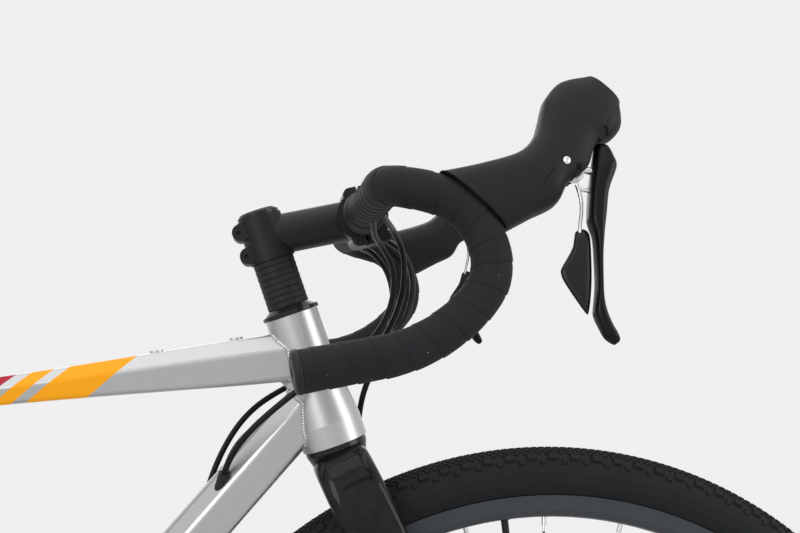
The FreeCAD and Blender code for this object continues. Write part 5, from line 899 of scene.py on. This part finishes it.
# brake lever blades: rear and front edge and width, from the pivot down to the tip
blade = {
    "stations": [(142.4, 30.6, 147.6, 30.2, 6.0), (141.2, 29.6, 150.6, 28.8, 10.5), (139.2, 22, 153.2, 22, 14.6),
                 (137, 11.2, 154.4, 14.2, 17.2), (134.4, -2, 147.6, -2, 17.2), (132.3, -18, 144.4, -18, 16.5),
                 (132.2, -25, 143.0, -25, 15.5), (134.6, -34.5, 141.2, -34, 14.0), (134.6, -48, 139.0, -48, 13.0),
                 (133.6, -66.5, 137.4, -66.5, 13.0), (131.8, -76.5, 137.2, -77, 13.0),
                 (130.2, -86.2, 138.6, -85, 12.5), (133.0, -95, 141.2, -92.6, 11.5),
                 (136.0, -101.6, 144.4, -98.8, 10.0), (140.2, -105.4, 145.8, -102.4, 7.0),
                 (142.4, -106.4, 145.2, -104.6, 3.6)],
    "between": 5}
bladeRings = [hoodRing(*row) for row in stationRows(blade["stations"], blade["between"])]
rightBlade = sharpen(loft("rightBlade", bladeRings, shadedBladeBlack), 50)
placePair(rightBlade, ["side_brake_lever"], "side_brake_lever")
print("blades made")

# shift paddles: crowned plates on a bright arm
paddle = {
    "outline": [(122.3, -32.0), (126.0, -29.6), (128.8, -29.4), (131.4, -31.4), (132.4, -36.0), (131.9, -50.0),
                (130.8, -64.0), (129.0, -76.0), (126.8, -85.6), (124.8, -86.0), (119.0, -77.0), (112.6, -66.2),
                (110.6, -60.6), (111.0, -56.6), (115.4, -49.6), (120.2, -41.4)],
    "layers": [(0.10, 1.3), (0.28, 1.95), (0.55, 2.3)], "pin": [(126.6, -1.0), (137.0, -2.8)],
    "pinProfile": [(0, 1.5), (10.4, 1.5)], "armWidth": 2.6,
    "arm": [(126.4, 1.6), (128.8, -6.5), (127.8, -19.0), (125.6, -28.0), (125.4, -34.0)]}


def paddlePlate():
    outline = paddle["outline"]
    middle = Vector((sum(p[0] for p in outline), sum(p[1] for p in outline))) / len(outline)
    n = len(outline)
    smoothed = []
    for i in range(n):
        for share in (0.0, 0.5):
            values = [[outline[(i + k - 1) % n][j] for k in range(4)] for j in (0, 1)]
            smoothed.append([through(v, 1 + share) for v in values])
    levels = [(inset, -high) for inset, high in reversed(paddle["layers"])] + [(0.0, 0.0)] + paddle["layers"]
    rings = [[dropSpot(x + (middle.x - x) * inset, z + (middle.y - z) * inset, high) for x, z in smoothed]
             for inset, high in levels]
    return loft("plate", rings, leverBlack)


rightPlate = paddlePlate()
arm = tubeAlong("arm", [dropSpot(*p) for p in paddle["arm"]], paddle["armWidth"], brightSteel)
pinStart, pinEnd = [dropSpot(*p) for p in paddle["pin"]]
pin = lathe("pin", paddle["pinProfile"], pinStart, pinEnd - pinStart, brightSteel, 16)
rightPaddle = joined("rightPaddle", [rightPlate, arm, sharpen(pin)])
placePair(rightPaddle, ["side_shift_paddle"], "side_shift_paddle")
print("paddles made")

# weld beads where the tubes meet, found on the edges of the tubes themselves
weld = {"spacing": 2.3, "beadLength": 4.4, "beadWidth": 4.6, "beadHeight": 2.2, "near": 0.12, "sectors": 64,
        "closest": 5.0, "furthest": 34.0, "widestGap": 14.0, "lean": 0.8, "lift": 0.2, "flareStart": 0.16,
        "flareSpan": 0.39, "topTubeDrop": 34.0}


def radiusAt(along, foot, top):  # the head tube narrows upwards, the others have one radius
    share = min(max((along / bike["headLength"] - weld["flareStart"]) / weld["flareSpan"], 0.0), 1.0)
    return foot + (top - foot) * share


def weldLoop(node, axisSpot, axis, radii, tubeSpot, tubeHeading):
    side = tubeHeading.orthogonal().normalized()
    over = tubeHeading.cross(side)
    best = {}
    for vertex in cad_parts[node].data.vertices:
        spot = vertex.co / metre
        rel = spot - axisSpot
        along = rel.dot(axis)
        if abs((rel - axis * along).length - radiusAt(along, *radii)) > weld["near"]:
            continue
        out = spot - tubeSpot
        out -= tubeHeading * out.dot(tubeHeading)
        if not weld["closest"] <= out.length <= weld["furthest"]:
            continue
        sector = int((math.atan2(out.dot(over), out.dot(side)) + math.pi) / math.tau * weld["sectors"])
        if sector not in best or out.length > best[sector][0]:
            best[sector] = (out.length, spot, out.normalized())
    ring = [best[k] for k in sorted(best)]
    rows = []
    carry = 0.0
    for (_, start, face), (_, end, nextFace) in zip(ring, ring[1:] + ring[:1]):
        length = (end - start).length
        if not 1e-6 <= length <= weld["widestGap"]:
            continue
        heading = (end - start) / length
        while carry < length:
            facing = (face.lerp(nextFace, carry / length) + tubeHeading * weld["lean"]).normalized()
            rows.append((start + heading * carry + facing * weld["lift"], heading, facing))
            carry += weld["spacing"]
        carry -= length
    return rows


topStart = steerFoot + steerUp * (bike["headBottom"] + bike["headLength"] - weld["topTubeDrop"])
topEnd = bbCentre + seatUp * bike["topTubeJoint"]
topHeading = (topEnd - topStart).normalized()
headFoot = steerFoot + steerUp * bike["headBottom"]
across = Vector((0, 1, 0))
headRadii = [bike["headBottomRadius"], bike["headTopRadius"]]
seatRadii = [bike["seatTubeRadius"]] * 2
shellRadii = [bike["shellRadius"]] * 2
beadRows = []
for meeting in (("down_tube", headFoot, steerUp, headRadii, downStart, downHeading),
                ("top_tube", headFoot, steerUp, headRadii, topStart, topHeading),
                ("top_tube", bbCentre, seatUp, seatRadii, topEnd, -topHeading),
                ("down_tube", bbCentre, across, shellRadii, bbCentre, -downHeading),
                ("seat_tube", bbCentre, across, shellRadii, bbCentre, seatUp)):
    beadRows += weldLoop(*meeting)
bead = lathe("bead", [(-1.0, 0.12), (-0.7, 0.7), (0.0, 1.0), (0.7, 0.7), (1.0, 0.12)], Vector(),
             Vector((1, 0, 0)), None, 8)
bead.data.transform(Matrix.Diagonal((weld["beadLength"] / 2, weld["beadWidth"] / 2, weld["beadHeight"] / 2, 1)))
welds = grown("weldBeads", pathTree, {"Part": bead, "Finish": silverPlain, "Uneven": 0.07, "Seed": 4},
              pointHost("weldPoints", beadRows))
bpy.data.objects.remove(bead)
welds.data.shade_smooth()
place(welds, "frame")
print("weld beads made:", len(beadRows))

# pedal pins on both faces of each platform
pins = {"length": 98.0, "width": 92.0, "height": 17.0, "inner": 78.5, "crank": 170.0,
        "spots": [(x, y) for x in (-0.44, 0.44) for y in (-0.30, 0.0, 0.30)]
        + [(x, y) for y in (-0.44, 0.44) for x in (-0.30, 0.30)]}
pinShape = lathe("pinShape", [(-1.0, 2.0), (0.0, 2.0), (0.3, 1.5), (2.6, 1.3), (2.9, 0.9)], Vector(),
                 Vector((0, 0, 1)), None, 10)
for name, side in (("right", -1), ("left", 1)):
    centre = bbCentre + Vector((-side * pins["crank"], side * (pins["inner"] + pins["length"] / 2), 0))
    rows = []
    for x, y in pins["spots"]:
        for face in (-1, 1):
            spot = centre + Vector((x * pins["width"], y * pins["length"], face * pins["height"] / 2))
            rows.append((spot, Vector((1, 0, 0)), Vector((0, 0, face))))
    piece = grown(name + "PedalPins", pathTree, {"Part": pinShape, "Finish": steel}, pointHost("pinPoints", rows))
    place(sharpen(piece), name + "_pedal")
bpy.data.objects.remove(pinShape)

# saddle: a crowned pad whose cover is blown up a little over its foam
saddle = {  # stations: ahead, width, crown, depth, depth of the channel
    "stations": [(-119.68, 75.92, 47, 9, 1.0), (-109.68, 122.64, 50, 17, 1.5), (-77.68, 146, 49, 21, 3.0),
                 (-35.68, 116.8, 45, 22, 4.0), (10.32, 78.4, 43, 21, 4.0), (60.32, 48, 44, 20, 3.0),
                 (112.32, 40, 45, 19, 1.5), (144.32, 34, 43, 16, 1.0), (152.32, 20, 39, 9, 0.6)],
    "between": 9, "rise": 20.0, "voxel": 4.5, "pressure": 2.5, "frames": 14, "cap": 2.5, "fill": 0.8,
    "heldBelow": -0.35}
saddleMiddle = bbCentre + seatUp * bike["saddleClamp"] + Vector((0, 0, saddle["rise"]))


def saddleRing(ahead, width, crown, depth, channel):
    half = width / 2
    base = crown - depth
    outline = [(0.0, crown - channel), (0.30, crown - 0.25 * channel - 0.2), (0.62, crown - 0.05 * depth),
               (0.86, crown - 0.22 * depth), (0.985, base + 0.56 * depth), (0.985, base + 0.30 * depth),
               (0.93, base + 0.10 * depth), (0.84, base)]
    halfRing = [Vector((ahead, y * half, z)) for y, z in outline]
    return halfRing + [Vector((p.x, -p.y, p.z)) for p in reversed(halfRing[1:])]


padRows = stationRows(saddle["stations"], saddle["between"])
pad = loft("saddleCover", [[saddleMiddle + p for p in saddleRing(*row)] for row in padRows], cover)
remesh = pad.modifiers.new("remesh", "REMESH")
remesh.mode = "VOXEL"
remesh.voxel_size = saddle["voxel"] * metre
baked(pad)
rest = [v.co.copy() for v in pad.data.vertices]
held = pad.vertex_groups.new(name="held")
for vertex in pad.data.vertices:
    if vertex.normal.z < saddle["heldBelow"]:
        held.add([vertex.index], 1.0, "REPLACE")
cloth = pad.modifiers.new("cloth", "CLOTH")
cloth.settings.use_pressure = True
cloth.settings.uniform_pressure_force = saddle["pressure"]
cloth.settings.vertex_group_mass = "held"
cloth.settings.effector_weights.gravity = 0.0
cloth.point_cache.frame_end = saddle["frames"]
for step in range(1, saddle["frames"] + 1):
    bpy.context.scene.frame_set(step)
baked(pad)
bpy.context.scene.frame_set(1)
cap = saddle["cap"] * metre
for vertex, start in zip(pad.data.vertices, rest):
    move = vertex.co - start
    if move.length > cap:
        vertex.co = start + move.normalized() * cap
pad.data.materials.clear()
pad.data.materials.append(cover)
smooth = pad.modifiers.new("smooth", "SMOOTH")
smooth.factor = 0.5
smooth.iterations = 4
finer = pad.modifiers.new("finer", "SUBSURF")
finer.levels = 1
baked(pad)
pad.data.shade_smooth()
place(pad, "saddle", ["saddle_pad"])
print("saddle made")
